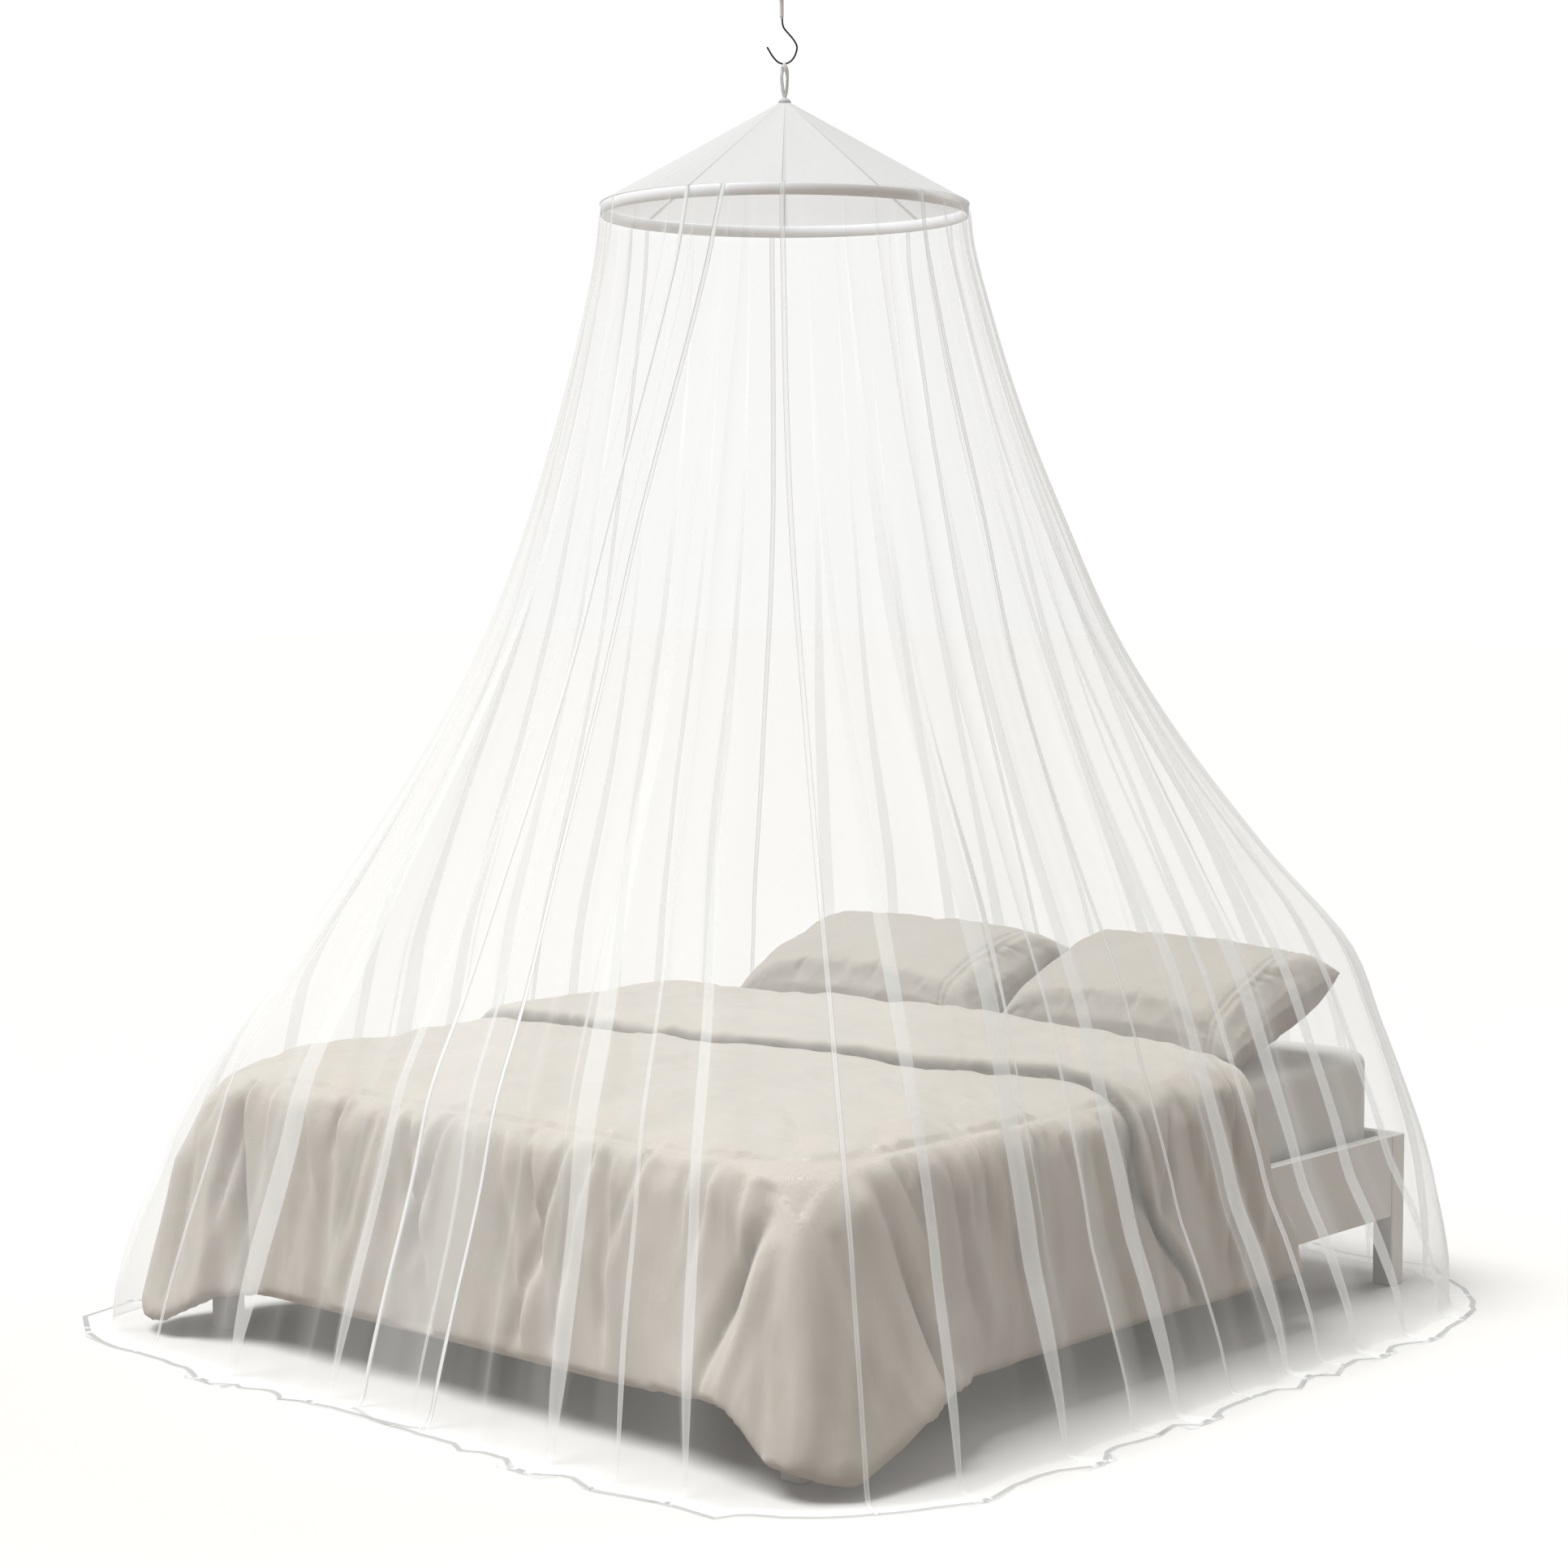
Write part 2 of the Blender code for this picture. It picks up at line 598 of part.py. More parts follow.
HOOK_SIDE = Vector((0.744, 0.668, 0.0))                 # the hook lies in the plane of this direction
HOOK_PATH = (
    # sideways from the hoop's middle, down from the top
    (-0.0054, 0.0), (-0.0046, 0.0130), (-0.0007, 0.0234), (0.0089, 0.0347), (0.0186, 0.0459),
    (0.0256, 0.0581), (0.0265, 0.0667), (0.0230, 0.0789), (0.0168, 0.0890), (0.0089, 0.0955),
    (-0.0010, 0.0985), (-0.0115, 0.0962), (-0.0191, 0.0905), (-0.0279, 0.0797), (-0.0340, 0.0693),
    (-0.0384, 0.0624),
)


def hook_point(sideways, down):
    centre = Vector((*HOOP_CENTRE, HOOK_TOP - down))
    return centre + HOOK_SIDE * sideways


def wire(name, points, radius, finish, resolution=2):
    curve = bpy.data.curves.new(name, "CURVE")
    curve.dimensions = "3D"
    curve.bevel_depth = radius
    curve.bevel_resolution = resolution
    curve.use_fill_caps = True
    spline = curve.splines.new("POLY")
    spline.points.add(len(points) - 1)
    for target, place in zip(spline.points, points):
        target.co = (*place, 1.0)
    return add_object(name, curve, finish)


def build_hook():
    count = 22
    knots = list(range(len(HOOK_PATH)))
    points = []
    for i in range(count):
        t = i * (len(HOOK_PATH) - 1) / (count - 1)
        points.append(hook_point(at(knots, [row[0] for row in HOOK_PATH], t),
                                 at(knots, [row[1] for row in HOOK_PATH], t)))
    wire("hook", points, WIRE_RADIUS, (BLACK_STEEL, 0.45, 0.4))


LOWEST = max(HOOK_PATH, key=lambda row: row[1])
LOOP_TOP = HOOK_TOP - LOWEST[1] + WIRE_RADIUS + GAP + LOOP_TAPE_THICKNESS / 2 + 0.0014
LOOP_BOTTOM = CROWN_TOP + GAP + LOOP_TAPE_THICKNESS / 2


def build_loop():
    """Flat tape folded into a long loop, hung on the hook and sewn down at the crown."""
    forward = Vector((HOOK_SIDE.y, -HOOK_SIDE.x, 0.0))
    top = Vector((*HOOP_CENTRE, 0)) + HOOK_SIDE * LOWEST[0]
    foot = Vector((*HOOP_CENTRE, 0))
    steps = 26
    centres, flats = [], []
    for i in range(steps):
        turn = 2 * pi * i / steps
        height = (1 - cos(turn)) / 2
        twist = radians(90.0 - LOOP_TWIST * ease((1 - height) / 0.4))
        wide = HOOK_SIDE * cos(twist) + forward * sin(twist)
        half = LOOP_WIDTH / 2 * sin(turn) * (0.35 + 0.65 * sin(turn / 2)**2)
        up = Vector((0, 0, LOOP_BOTTOM + (LOOP_TOP - LOOP_BOTTOM) * height))
        centres.append(foot * (1 - height) + top * height + wide * half + up)
        flats.append(Vector((wide.y, -wide.x, 0)))
    rings = []
    for i, place in enumerate(centres):
        across = flats[i]
        tangent = (centres[(i + 1) % steps] - centres[i - 1]).normalized()
        normal = tangent.cross(across).normalized()
        w, t = LOOP_TAPE_WIDTH / 2, LOOP_TAPE_THICKNESS / 2
        rings.append([place + across * u + normal * v for u, v in ((w, t), (-w, t), (-w, -t), (w, -t))])
    tube_from_rings("hanging_loop", rings, (WHITE_TAPE, 0.85), closed=True)


def build_cord():
    """The cord that carries the hook, and the round fitting on the ceiling that it runs into."""
    foot = hook_point(HOOK_PATH[0][0] - 0.0012, 0.0) + Vector((0, 0, GAP))
    points = [foot + Vector((0, 0, CORD_LENGTH * k / 6)) for k in range(7)]
    wire("ceiling_cord", points, CORD_RADIUS, (WHITE_TAPE, 0.85))
    low = points[-1].z + GAP
    rings = []
    for radius, z in ((FITTING_RADIUS * 0.55, low), (FITTING_RADIUS, low + 0.004),
                      (FITTING_RADIUS, low + FITTING_HEIGHT)):
        turns = [2 * pi * k / 24 for k in range(24)]
        rings.append([Vector((foot.x + radius * cos(a), foot.y + radius * sin(a), z)) for a in turns])
    tube_from_rings("ceiling_fitting", rings, (WHITE_METAL, 0.4))


# ---------------------------------------------------------------- bed
def box(name, low, high, finish, bevel=0.002):
    made = bmesh.new()
    size = Vector(high) - Vector(low)
    bmesh.ops.create_cube(made, size=1.0, matrix=Matrix.Diagonal((*size, 1.0)))
    mesh = bpy.data.meshes.new(name)
    made.to_mesh(mesh)
    made.free()
    placed = add_object(name, mesh, finish)
    placed.location = (Vector(low) + Vector(high)) / 2
    if bevel:
        soft = placed.modifiers.new("soft_edges", "BEVEL")
        soft.width = bevel
        soft.segments = 1
    return placed


def build_frame():
    finish = (BED_WHITE, 0.45)
    half_w, half_l = BED_WIDTH / 2, BED_LENGTH / 2
    for name, sx, sy in (("leg_foot_left", -1, -1), ("leg_foot_right", 1, -1), ("leg_head_left", -1, 1),
                         ("leg_head_right", 1, 1)):
        x0, x1 = sorted((sx * half_w, sx * (half_w - LEG_SIZE)))
        y0, y1 = sorted((sy * half_l, sy * (half_l - LEG_SIZE)))
        box(name, (x0, y0, 0.0), (x1, y1, RAIL_TOP), finish)
    inner = LEG_SIZE + GAP
    inset = 0.002
    for name, side in (("rail_left", -1), ("rail_right", 1)):
        x0, x1 = sorted((side * (half_w - inset), side * (half_w - inset - RAIL_THICKNESS)))
        box(name, (x0, -half_l + inner, RAIL_BOTTOM), (x1, half_l - inner, RAIL_TOP), finish)
    for name, side in (("rail_foot", -1), ("rail_head", 1)):
        y0, y1 = sorted((side * (half_l - inset), side * (half_l - inset - RAIL_THICKNESS)))
        box(name, (-half_w + inner, y0, RAIL_BOTTOM), (half_w - inner, y1, RAIL_TOP), finish)
    clear = inset + RAIL_THICKNESS + GAP
    notch = LEG_SIZE + GAP
    x, y = half_w - clear, half_l - clear
    nx, ny = half_w - notch, half_l - notch
    outline = [(-nx, -y), (nx, -y), (nx, -ny), (x, -ny), (x, ny), (nx, ny), (nx, y), (-nx, y), (-nx, ny),
               (-x, ny), (-x, -ny), (-nx, -ny)]
    top = MATTRESS_BOTTOM - GAP
    rings = [[Vector((px, py, z)) for px, py in outline] for z in (top - BASE_THICKNESS, top)]
    tube_from_rings("bed_base", rings, (BED_WHITE, 0.6), smooth=False)


def rounded_ring(half_x, half_y, radius, z, arc_steps=5):
    ring = []
    for cx, cy, start in ((1, -1, -90), (1, 1, 0), (-1, 1, 90), (-1, -1, 180)):
        for k in range(arc_steps + 1):
            a = radians(start + 90.0 * k / arc_steps)
            x, y = cx * (half_x - radius) + radius * cos(a), cy * (half_y - radius) + radius * sin(a)
            ring.append(Vector((x, y, z)))
    return ring


def build_mattress():
    half_x, half_y = MATTRESS_WIDTH / 2, MATTRESS_LENGTH / 2
    edge = 0.022
    rings = []
    for inset, z in ((edge, MATTRESS_BOTTOM), (edge * 0.3, MATTRESS_BOTTOM + edge * 0.3),
                     (0.0, MATTRESS_BOTTOM + edge), (0.0, MATTRESS_TOP - edge),
                     (edge * 0.3, MATTRESS_TOP - edge * 0.3), (edge, MATTRESS_TOP)):
        rings.append(rounded_ring(half_x - inset, half_y - inset, 0.07 - inset, z))
    tube_from_rings("mattress", rings, (TICKING, 0.9))


def duvet_columns():
    """Places round the duvet's three hanging sides, from the near head end by the foot to the far one.

    Each is (side, share): 'near' and 'far' run along the long sides, 'corner' and 'foot' round the foot.
    """
    long_side = (0.0, 0.04, 0.20, 0.345, 0.385, 0.60, 0.84, 1.03, 1.20, 1.32)
    foot_side = (FOOT_SHARE, 0.34, 0.50, 0.72)
    places = [("near", s) for s in long_side]
    places += [("near_corner", k / 4) for k in range(5)]
    places += [("foot", s) for s in (*foot_side, 1.0)]
    places += [("foot", 2 - s) for s in foot_side[::-1]]
    places += [("far_corner", 1 - k / 4) for k in range(5)]
    places += [("far", s) for s in long_side[::-1]]
    return places


def duvet_end(z):
    """Where the duvet's head end is at one height."""
    return DUVET_END_TOP + (DUVET_END_HEM - DUVET_END_TOP) * ease((0.60 - z) / 0.55)


def turnback_edge(z, mirror):
    """Where the turned-back part's loose edge is on the near (1) or far (-1) side."""
    edge = TURNBACK_TOP + (TURNBACK_HEM - TURNBACK_TOP) * ease((0.45 - z) / 0.40)
    return edge + (TURNBACK_FAR if mirror < 0 else 0.0)


def along_side(share, head, turned, foot):
    """Place on the way from the head end by the loose edge to the foot."""
    return line_at((0.0, TURNBACK_SHARE, LONG_SHARE), (head, turned, foot), share)


def duvet_edge(place, level, inset):
    """Point, outward direction and drop of the duvet's side at one place and level."""
    side, share = place
    z, half_x, half_y, radius, flare = level
    half_x -= inset
    half_y -= inset
    radius = max(radius - inset * 0.4, 0.012)
    mirror = -1 if side in ("far", "far_corner") else 1
    if side in ("near", "far"):
        y = along_side(share, duvet_end(z), turnback_edge(z, mirror), -(half_y - radius))
        point, out = Vector((mirror * half_x, y, z)), Vector((mirror, 0, 0))
        from_corner = y + half_y
    elif side == "foot":
        span = 2 * (half_x - radius)
        t = (share - FOOT_SHARE) / (2 - 2 * FOOT_SHARE)
        x = (half_x - radius) - span * (0.06 + 0.88 * t)
        point, out = Vector((x, -half_y, z)), Vector((0, -1, 0))
        from_corner = -(half_x - abs(x))
        mirror = 1 if x > 0 else -1
    else:
        a = radians(-90 * share)
        x, y = half_x - radius + radius * cos(a), -(half_y - radius) + radius * sin(a)
        point = Vector((mirror * x, y, z))
        out = Vector((mirror * cos(a), sin(a), 0))
        from_corner = (0.5 - share) * radius * 1.2
    drape = CORNER_DRAPES["right" if mirror > 0 else "left"]
    keys = [row[0] for row in drape]
    spread = line_at(keys, [row[1] for row in drape], from_corner) * flare
    drop = line_at(keys, [row[2] for row in drape], from_corner)
    point = point + out * spread
    return point, out, drop


def duvet_spine(place):
    """Where a column ends on the duvet's middle line."""
    side, share = place
    if side in ("near", "far"):
        return along_side(share, SPINE_HEAD, SPINE_TURNBACK, SPINE_FOOT)
    return SPINE_FOOT


def turnback(place):
    """Extra thickness of the part that is folded back at the head end."""
    side, share = place
    if side not in ("near", "far"):
        return 0.0
    return TURNBACK_THICKNESS * (1.0 - ease((share - TURNBACK_SHARE) / TURNBACK_STEP + 0.5))


def duvet_side(place, outer):
    """One column of the duvet's outer or inner surface, from the hem to its middle line."""
    column_points = []
    inset = 0.0 if outer else DUVET_SIDE_THICKNESS
    for level in DUVET_LEVELS:
        z = level[0]
        point, out, drop = duvet_edge(place, level, inset)
        share_down = ease((0.348 - z) / (0.348 - DUVET_HEM_Z))
        point.z -= drop * share_down
        if outer:
            point = point + out * turnback(place) * 0.35
            point.z += turnback(place) * ease((z - 0.48) / 0.12)
        else:
            if z > REST_Z:
                point.z = MATTRESS_TOP + (GAP if z > FLAT_Z else 0.001)
            if z > FLAT_Z:
                pull = DRAW_IN * (1 + (z - FLAT_Z) / DRAW_IN_HEIGHT)
                point.x *= 1 - pull
                point.y *= 1 - pull * ease(-point.y / 0.8)
        column_points.append(point)
    y = duvet_spine(place)
    start = column_points[-1]
    for share in (0.4, 0.75, 1.0):
        middle = Vector((start.x * (1 - share), start.y + (y - start.y) * share, 0))
        if outer:
            rise = (DUVET_CROWN - DUVET_LEVELS[-1][0]) * ease(share)
            middle.z = DUVET_LEVELS[-1][0] + rise + turnback(place) * (1 - 0.3 * share)
        else:
            middle.z = MATTRESS_TOP + GAP
        column_points.append(middle)
    return column_points


def build_duvet():
    places = duvet_columns()
    outer = [duvet_side(place, True) for place in places]
    inner = [duvet_side(place, False) for place in places]
    rows, count = len(outer[0]), len(places)
    points = [p for side in (outer, inner) for col in side for p in col]
    faces = []

    def index(side, c, r):
        return (side * count + c) * rows + r

    for c in range(count - 1):
        for r in range(rows - 1):
            faces.append((index(0, c, r), index(0, c + 1, r), index(0, c + 1, r + 1), index(0, c, r + 1)))
            faces.append((index(1, c, r), index(1, c, r + 1), index(1, c + 1, r + 1), index(1, c + 1, r)))
    # a rounded rim joins the two surfaces along the hem and the head end
    rim = {}

    def rim_point(c, r, away):
        if (c, r) not in rim:
            middle = (outer[c][r] + inner[c][r]) / 2 + away
            points.append(middle)
            rim[(c, r)] = len(points) - 1
        return rim[(c, r)]

    down, headward = Vector((0, 0, -0.010)), Vector((0, 0.012, 0))

    def bridge(c0, r0, c1, r1, away0, away1):
        a, b = index(0, c0, r0), index(0, c1, r1)
        m0, m1 = rim_point(c0, r0, away0), rim_point(c1, r1, away1)
        faces.append((a, b, m1, m0))
        faces.append((m0, m1, index(1, c1, r1), index(1, c0, r0)))

    corner_away = (down + headward) * 0.7
    for c in range(count - 1):
        bridge(c, 0, c + 1, 0, corner_away if c == 0 else down, corner_away if c == count - 2 else down)
    for c in (0, count - 1):
        for r in range(rows - 1):
            bridge(c, r, c, r + 1, corner_away if r == 0 else headward, headward)
    mesh_from("duvet", points, faces, (DUVET_GREIGE, 0.9))


def build_pillow(name, cx, cy, half_w, half_d, turn, tilt, height):
    """Plump pillow: two domed faces that meet in a seam, leaning back on the mattress."""
    nx, ny = 12, 8
    turn, tilt = radians(turn), radians(tilt)
    floor = MATTRESS_TOP + GAP
    centre_z = MATTRESS_TOP + height
    points, faces = [], []

    def place(i, j, face):
        u, v = sin(pi / 2 * (2 * i / nx - 1)), sin(pi / 2 * (2 * j / ny - 1))
        x = half_w * u * (1 - 0.055 * (1 - v * v))
        y = half_d * v * (1 - 0.075 * (1 - u * u))
        dome = (max(1 - abs(u)**3.4, 0.0) * max(1 - abs(v)**3.0, 0.0))**0.5
        h = face * PILLOW_THICKNESS / 2 * dome
        z = centre_z + h * cos(tilt) + y * sin(tilt)
        y = y * cos(tilt) - h * sin(tilt)
        z = max(z, floor)
        return Vector((cx + x * cos(turn) - y * sin(turn), cy + x * sin(turn) + y * cos(turn), z))

    for face in (1, -1):
        for i in range(nx + 1):
            for j in range(ny + 1):
                points.append(place(i, j, face))
    size = (nx + 1) * (ny + 1)
    for side in (0, 1):
        for i in range(nx):
            for j in range(ny):
                a = side * size + i * (ny + 1) + j
                faces.append((a, a + ny + 1, a + ny + 2, a + 1) if side == 0
                             else (a, a + 1, a + ny + 2, a + ny + 1))
    mesh_from(name, points, faces, (TICKING, 0.9))


# ---------------------------------------------------------------- the whole part
def shift_to_origin():
    """Moves everything along the bed so that the floor under the middle of the net is the origin."""
    for part in bpy.data.objects:
        part.data.transform(Matrix.Translation((0, ORIGIN_SHIFT, 0)))


def main():
    for old in list(bpy.data.objects):
        bpy.data.objects.remove(old, do_unlink=True)
    edges = build_panels()
    build_tapes()
    build_bindings(edges)
    build_roof()
    build_hoop()
    build_crown()
    build_loop()
    build_hook()
    build_cord()
    build_frame()
    build_mattress()
    build_duvet()
    for row in PILLOWS:
        build_pillow(*row)
    shift_to_origin()


main()
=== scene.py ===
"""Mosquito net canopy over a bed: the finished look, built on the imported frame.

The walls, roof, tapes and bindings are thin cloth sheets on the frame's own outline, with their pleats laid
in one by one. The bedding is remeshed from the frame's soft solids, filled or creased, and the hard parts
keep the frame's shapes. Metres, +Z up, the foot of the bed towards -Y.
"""
import random
from functools import lru_cache
from math import cos, exp, pi, radians, sin, sqrt

import bmesh
import bpy
from bpy.props import FloatProperty, FloatVectorProperty, IntProperty, PointerProperty
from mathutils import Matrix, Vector, noise


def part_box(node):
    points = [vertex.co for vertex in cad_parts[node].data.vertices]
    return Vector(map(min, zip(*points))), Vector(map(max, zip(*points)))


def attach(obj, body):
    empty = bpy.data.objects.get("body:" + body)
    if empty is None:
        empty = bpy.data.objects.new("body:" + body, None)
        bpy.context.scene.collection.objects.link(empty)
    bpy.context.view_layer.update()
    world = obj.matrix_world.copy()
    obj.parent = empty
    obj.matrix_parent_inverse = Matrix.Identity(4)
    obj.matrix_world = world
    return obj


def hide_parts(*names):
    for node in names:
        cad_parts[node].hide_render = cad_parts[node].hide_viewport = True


bl_info = {
    "name": "Mosquito Net Canopy",
    "version": (1, 0, 0),
    "blender": (4, 5, 0),
    "location": "View3D > Sidebar > Net Canopy",
    "description": "Builds a round mosquito net canopy over a made-up bed",
    "category": "Add Mesh",
}

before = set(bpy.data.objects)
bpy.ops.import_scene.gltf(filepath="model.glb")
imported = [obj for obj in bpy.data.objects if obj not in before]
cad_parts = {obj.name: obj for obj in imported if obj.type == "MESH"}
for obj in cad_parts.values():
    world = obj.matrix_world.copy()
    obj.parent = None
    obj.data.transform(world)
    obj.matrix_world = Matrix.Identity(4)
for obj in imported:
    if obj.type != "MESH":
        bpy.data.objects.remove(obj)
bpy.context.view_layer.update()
UP = Vector((0, 0, 1))


def middle_of(node):
    low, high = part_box(node)
    return (low + high) / 2


BED_MIDDLE = Vector((*middle_of("bed_base").xy, 0))
HOOP_LOW, HOOP_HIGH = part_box("hoop")
HOOP_OFFSET = Vector((*middle_of("hoop").xy, 0)) - BED_MIDDLE
HOOP_MIDDLE = BED_MIDDLE + HOOP_OFFSET
HOOP_RADIUS = (HOOP_HIGH.x - HOOP_LOW.x) / 2
HOOP_TOP = HOOP_HIGH.z
CROWN_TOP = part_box("crown_patch")[1].z
APEX_Z = CROWN_TOP - 0.0045
WALL_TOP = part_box("net_panel_near")[1].z

# Outline of the hanging net at each height: half width, half length towards the foot and the head,
# corner radii, and how far the middle has moved from the hoop's middle to the bed's.
NET_LEVELS = (
    # z, half_width, half_foot, half_head, r_foot_left, r_foot_right, r_head, to_bed
    (2.4205, 0.4014, 0.4014, 0.4014, 0.4014, 0.4014, 0.4014, 0.00),
    (2.3400, 0.409, 0.409, 0.409, 0.409, 0.409, 0.409, 0.01),
    (2.2500, 0.426, 0.428, 0.428, 0.420, 0.420, 0.420, 0.05),
    (2.0000, 0.487, 0.497, 0.497, 0.460, 0.450, 0.420, 0.15),
    (1.7500, 0.556, 0.576, 0.576, 0.500, 0.480, 0.430, 0.28),
    (1.5000, 0.621, 0.661, 0.661, 0.500, 0.490, 0.460, 0.42),
    (1.2500, 0.705, 0.770, 0.770, 0.510, 0.500, 0.470, 0.57),
    (1.0000, 0.805, 0.899, 0.885, 0.510, 0.480, 0.420, 0.74),
    (0.8000, 0.884, 1.004, 0.980, 0.460, 0.420, 0.313, 0.87),
    (0.6200, 0.930, 1.097, 1.055, 0.345, 0.325, 0.350, 0.95),
    (0.4500, 0.970, 1.138, 1.085, 0.220, 0.220, 0.320, 1.00),
    (0.3500, 0.990, 1.160, 1.100, 0.200, 0.220, 0.295, 1.00),
    (0.2500, 1.025, 1.183, 1.120, 0.180, 0.260, 0.330, 1.00),
    (0.0900, 1.068, 1.214, 1.145, 0.180, 0.340, 0.390, 1.00),
    (0.0000, 1.078, 1.226, 1.152, 0.200, 0.380, 0.430, 1.00),
)
SEAM_HEIGHTS = (2.42, 1.80, 1.30, 0.65, 0.0)
SEAM_ANGLES = {
    "back_left": (-178.0, -180.0, -180.0, -180.0, -180.0),
    "left": (-112.0, -116.0, -119.0, -121.0, -123.0),
    "opening_edge": (-65.5, -79.0, -82.5, -82.5, -86.0),
    "front": (-48.8, -49.5, -48.5, -47.5, -46.0),
    "right": (-3.0, -5.0, -7.0, -6.0, -1.0),
    "head_right": (42.0, 41.0, 42.0, 44.0, 45.0),
    "head": (88.0, 94.0, 97.0, 100.0, 101.0),
    "head_left": (136.0, 137.0, 139.0, 140.0, 141.0),
    "back": (182.0, 180.0, 180.0, 180.0, 180.0),
}
UNDER_SHARE = 0.72                      # where the under edge of the way in runs, across the panel over it
SEAM_ANGLES["under_edge"] = tuple(a + (b - a) * UNDER_SHARE for a, b in zip(
    SEAM_ANGLES["left"], SEAM_ANGLES["opening_edge"]))

# Broad soft folds that the walls hang in. The angle is at the floor.
FOLDS = (
    # angle, width, depth, start, lean, reach
    (-170.0, 5.5, 0.024, 1.9, 0.30, 0.021), (-158.0, 5.0, 0.020, 2.1, -0.20, 0.008),
    (-146.0, 5.5, 0.026, 2.2, 0.25, 0.027), (-134.0, 5.0, 0.028, 2.2, -0.25, 0.028),
    (-114.0, 4.2, 0.026, 2.2, 0.30, 0.021), (-108.0, 3.0, 0.018, 2.0, -0.30, 0.008),
    (-102.8, 3.0, 0.022, 1.7, 0.25, 0.015), (-78.5, 3.0, 0.014, 1.5, -0.20, 0.007),
    (-71.0, 3.4, 0.024, 1.8, 0.30, 0.024), (-64.0, 3.6, 0.022, 1.4, -0.30, 0.013),
    (-56.5, 3.4, 0.020, 1.9, 0.25, 0.020), (-39.5, 3.4, 0.018, 1.9, 0.30, 0.014),
    (-28.5, 4.2, 0.026, 2.1, -0.30, 0.025), (-20.0, 3.0, 0.016, 1.6, 0.20, 0.007),
    (-11.0, 4.4, 0.028, 2.2, 0.30, 0.024), (6.0, 3.6, 0.022, 1.8, -0.25, 0.010),
    (13.0, 4.2, 0.028, 2.2, 0.30, 0.025), (22.0, 4.4, 0.026, 2.2, 0.25, 0.013),
    (31.5, 4.6, 0.024, 2.1, -0.20, 0.021), (39.0, 3.0, 0.016, 2.0, 0.20, 0.007),
    (54.0, 4.6, 0.026, 2.1, 0.25, 0.021), (69.0, 5.4, 0.022, 1.9, -0.30, 0.013),
    (85.0, 5.0, 0.026, 2.1, 0.25, 0.024), (113.0, 5.0, 0.024, 2.1, 0.25, 0.021),
    (128.0, 4.8, 0.026, 2.1, -0.25, 0.014), (153.0, 4.8, 0.024, 2.0, -0.25, 0.018),
    (168.0, 5.0, 0.026, 1.9, 0.25, 0.013),
)

# Flat pleats: the cloth doubles back on itself in a narrow band that starts at its own height.
PLEATS = {
    "net_panel_left": (
        # angle at the floor, width of the band at the floor, height where it starts, side it laps to
        (-173.5, 0.036, 2.15, 1), (-165.5, 0.030, 2.25, -1), (-158.5, 0.040, 2.05, 1),
        (-151.0, 0.028, 2.20, 1), (-143.5, 0.034, 2.25, -1), (-136.5, 0.026, 2.10, 1),
        (-129.5, 0.040, 2.25, -1),
    ),
    "net_panel_foot_left": ((-112.3, 0.046, 2.25, 1), (-100.3, 0.030, 2.00, -1)),
    "net_panel_foot": (
        (-89.0, 0.010, 1.70, -1), (-71.0, 0.050, 2.20, -1), (-64.2, 0.013, 1.60, 1), (-58.6, 0.026, 2.05, -1),
    ),
    "net_panel_near": (
        (-39.5, 0.030, 2.15, -1), (-28.5, 0.052, 2.25, 1), (-18.6, 0.011, 1.75, 1), (-11.8, 0.046, 2.20, -1),
    ),
    "net_panel_right": (
        (9.8, 0.044, 2.25, 1), (16.0, 0.013, 2.00, -1), (21.6, 0.048, 2.20, 1), (29.8, 0.034, 2.25, -1),
        (37.0, 0.026, 2.10, 1),
    ),
    "net_panel_head_right": (
        (51.5, 0.038, 2.20, 1), (59.0, 0.026, 2.10, -1), (66.5, 0.044, 2.25, 1), (74.5, 0.030, 2.05, -1),
        (82.5, 0.036, 2.20, 1), (91.5, 0.026, 1.95, -1),
    ),
    "net_panel_head": (
        (107.5, 0.034, 2.20, -1), (115.5, 0.042, 2.10, 1), (123.5, 0.028, 2.20, -1), (131.5, 0.040, 2.15, 1),
    ),
    "net_panel_head_left": (
        (147.5, 0.036, 2.20, 1), (155.5, 0.028, 2.10, -1), (163.5, 0.042, 2.15, 1), (171.5, 0.030, 2.00, -1),
    ),
}
# Section across one pleat: the order of its columns, where each lies across the folded band in shares of
# half its width, and the layer it lies in.
PLEAT_SECTION = (
    (-1.00, -1.60, 0.00), (-0.82, -0.60, 0.00), (-0.65, 0.95, 0.12), (-0.55, 1.00, 0.45),
    (-0.45, 0.95, 0.80), (-0.15, 0.00, 0.95), (0.12, -0.95, 1.10), (0.22, -1.00, 1.45),
    (0.32, -0.95, 1.80), (0.52, 0.00, 1.90), (0.70, 0.96, 1.80), (0.84, 1.25, 0.90), (1.00, 1.90, 0.00),
)
PLEAT_LAYER = 0.0018
PLEAT_ROOM = 2.7                        # degrees kept free of plain columns on each side of a pleat
PLEAT_LEAST = 0.02                      # share of its width that a pleat has at the hoop
PLEAT_UNEVEN = 0.45                     # how far a pleat's width changes along it
PLEAT_DRIFT = 0.012
PLEAT_PINCH = 0.62                      # how far the floor draws a pleat together
PLEAT_EXTRA = 1.25
FLOOR_THINNER = -0.22                   # change of cover where the cloth lies on the floor
COLUMN_STEP = 0.9                       # degrees between the plain columns of a wall

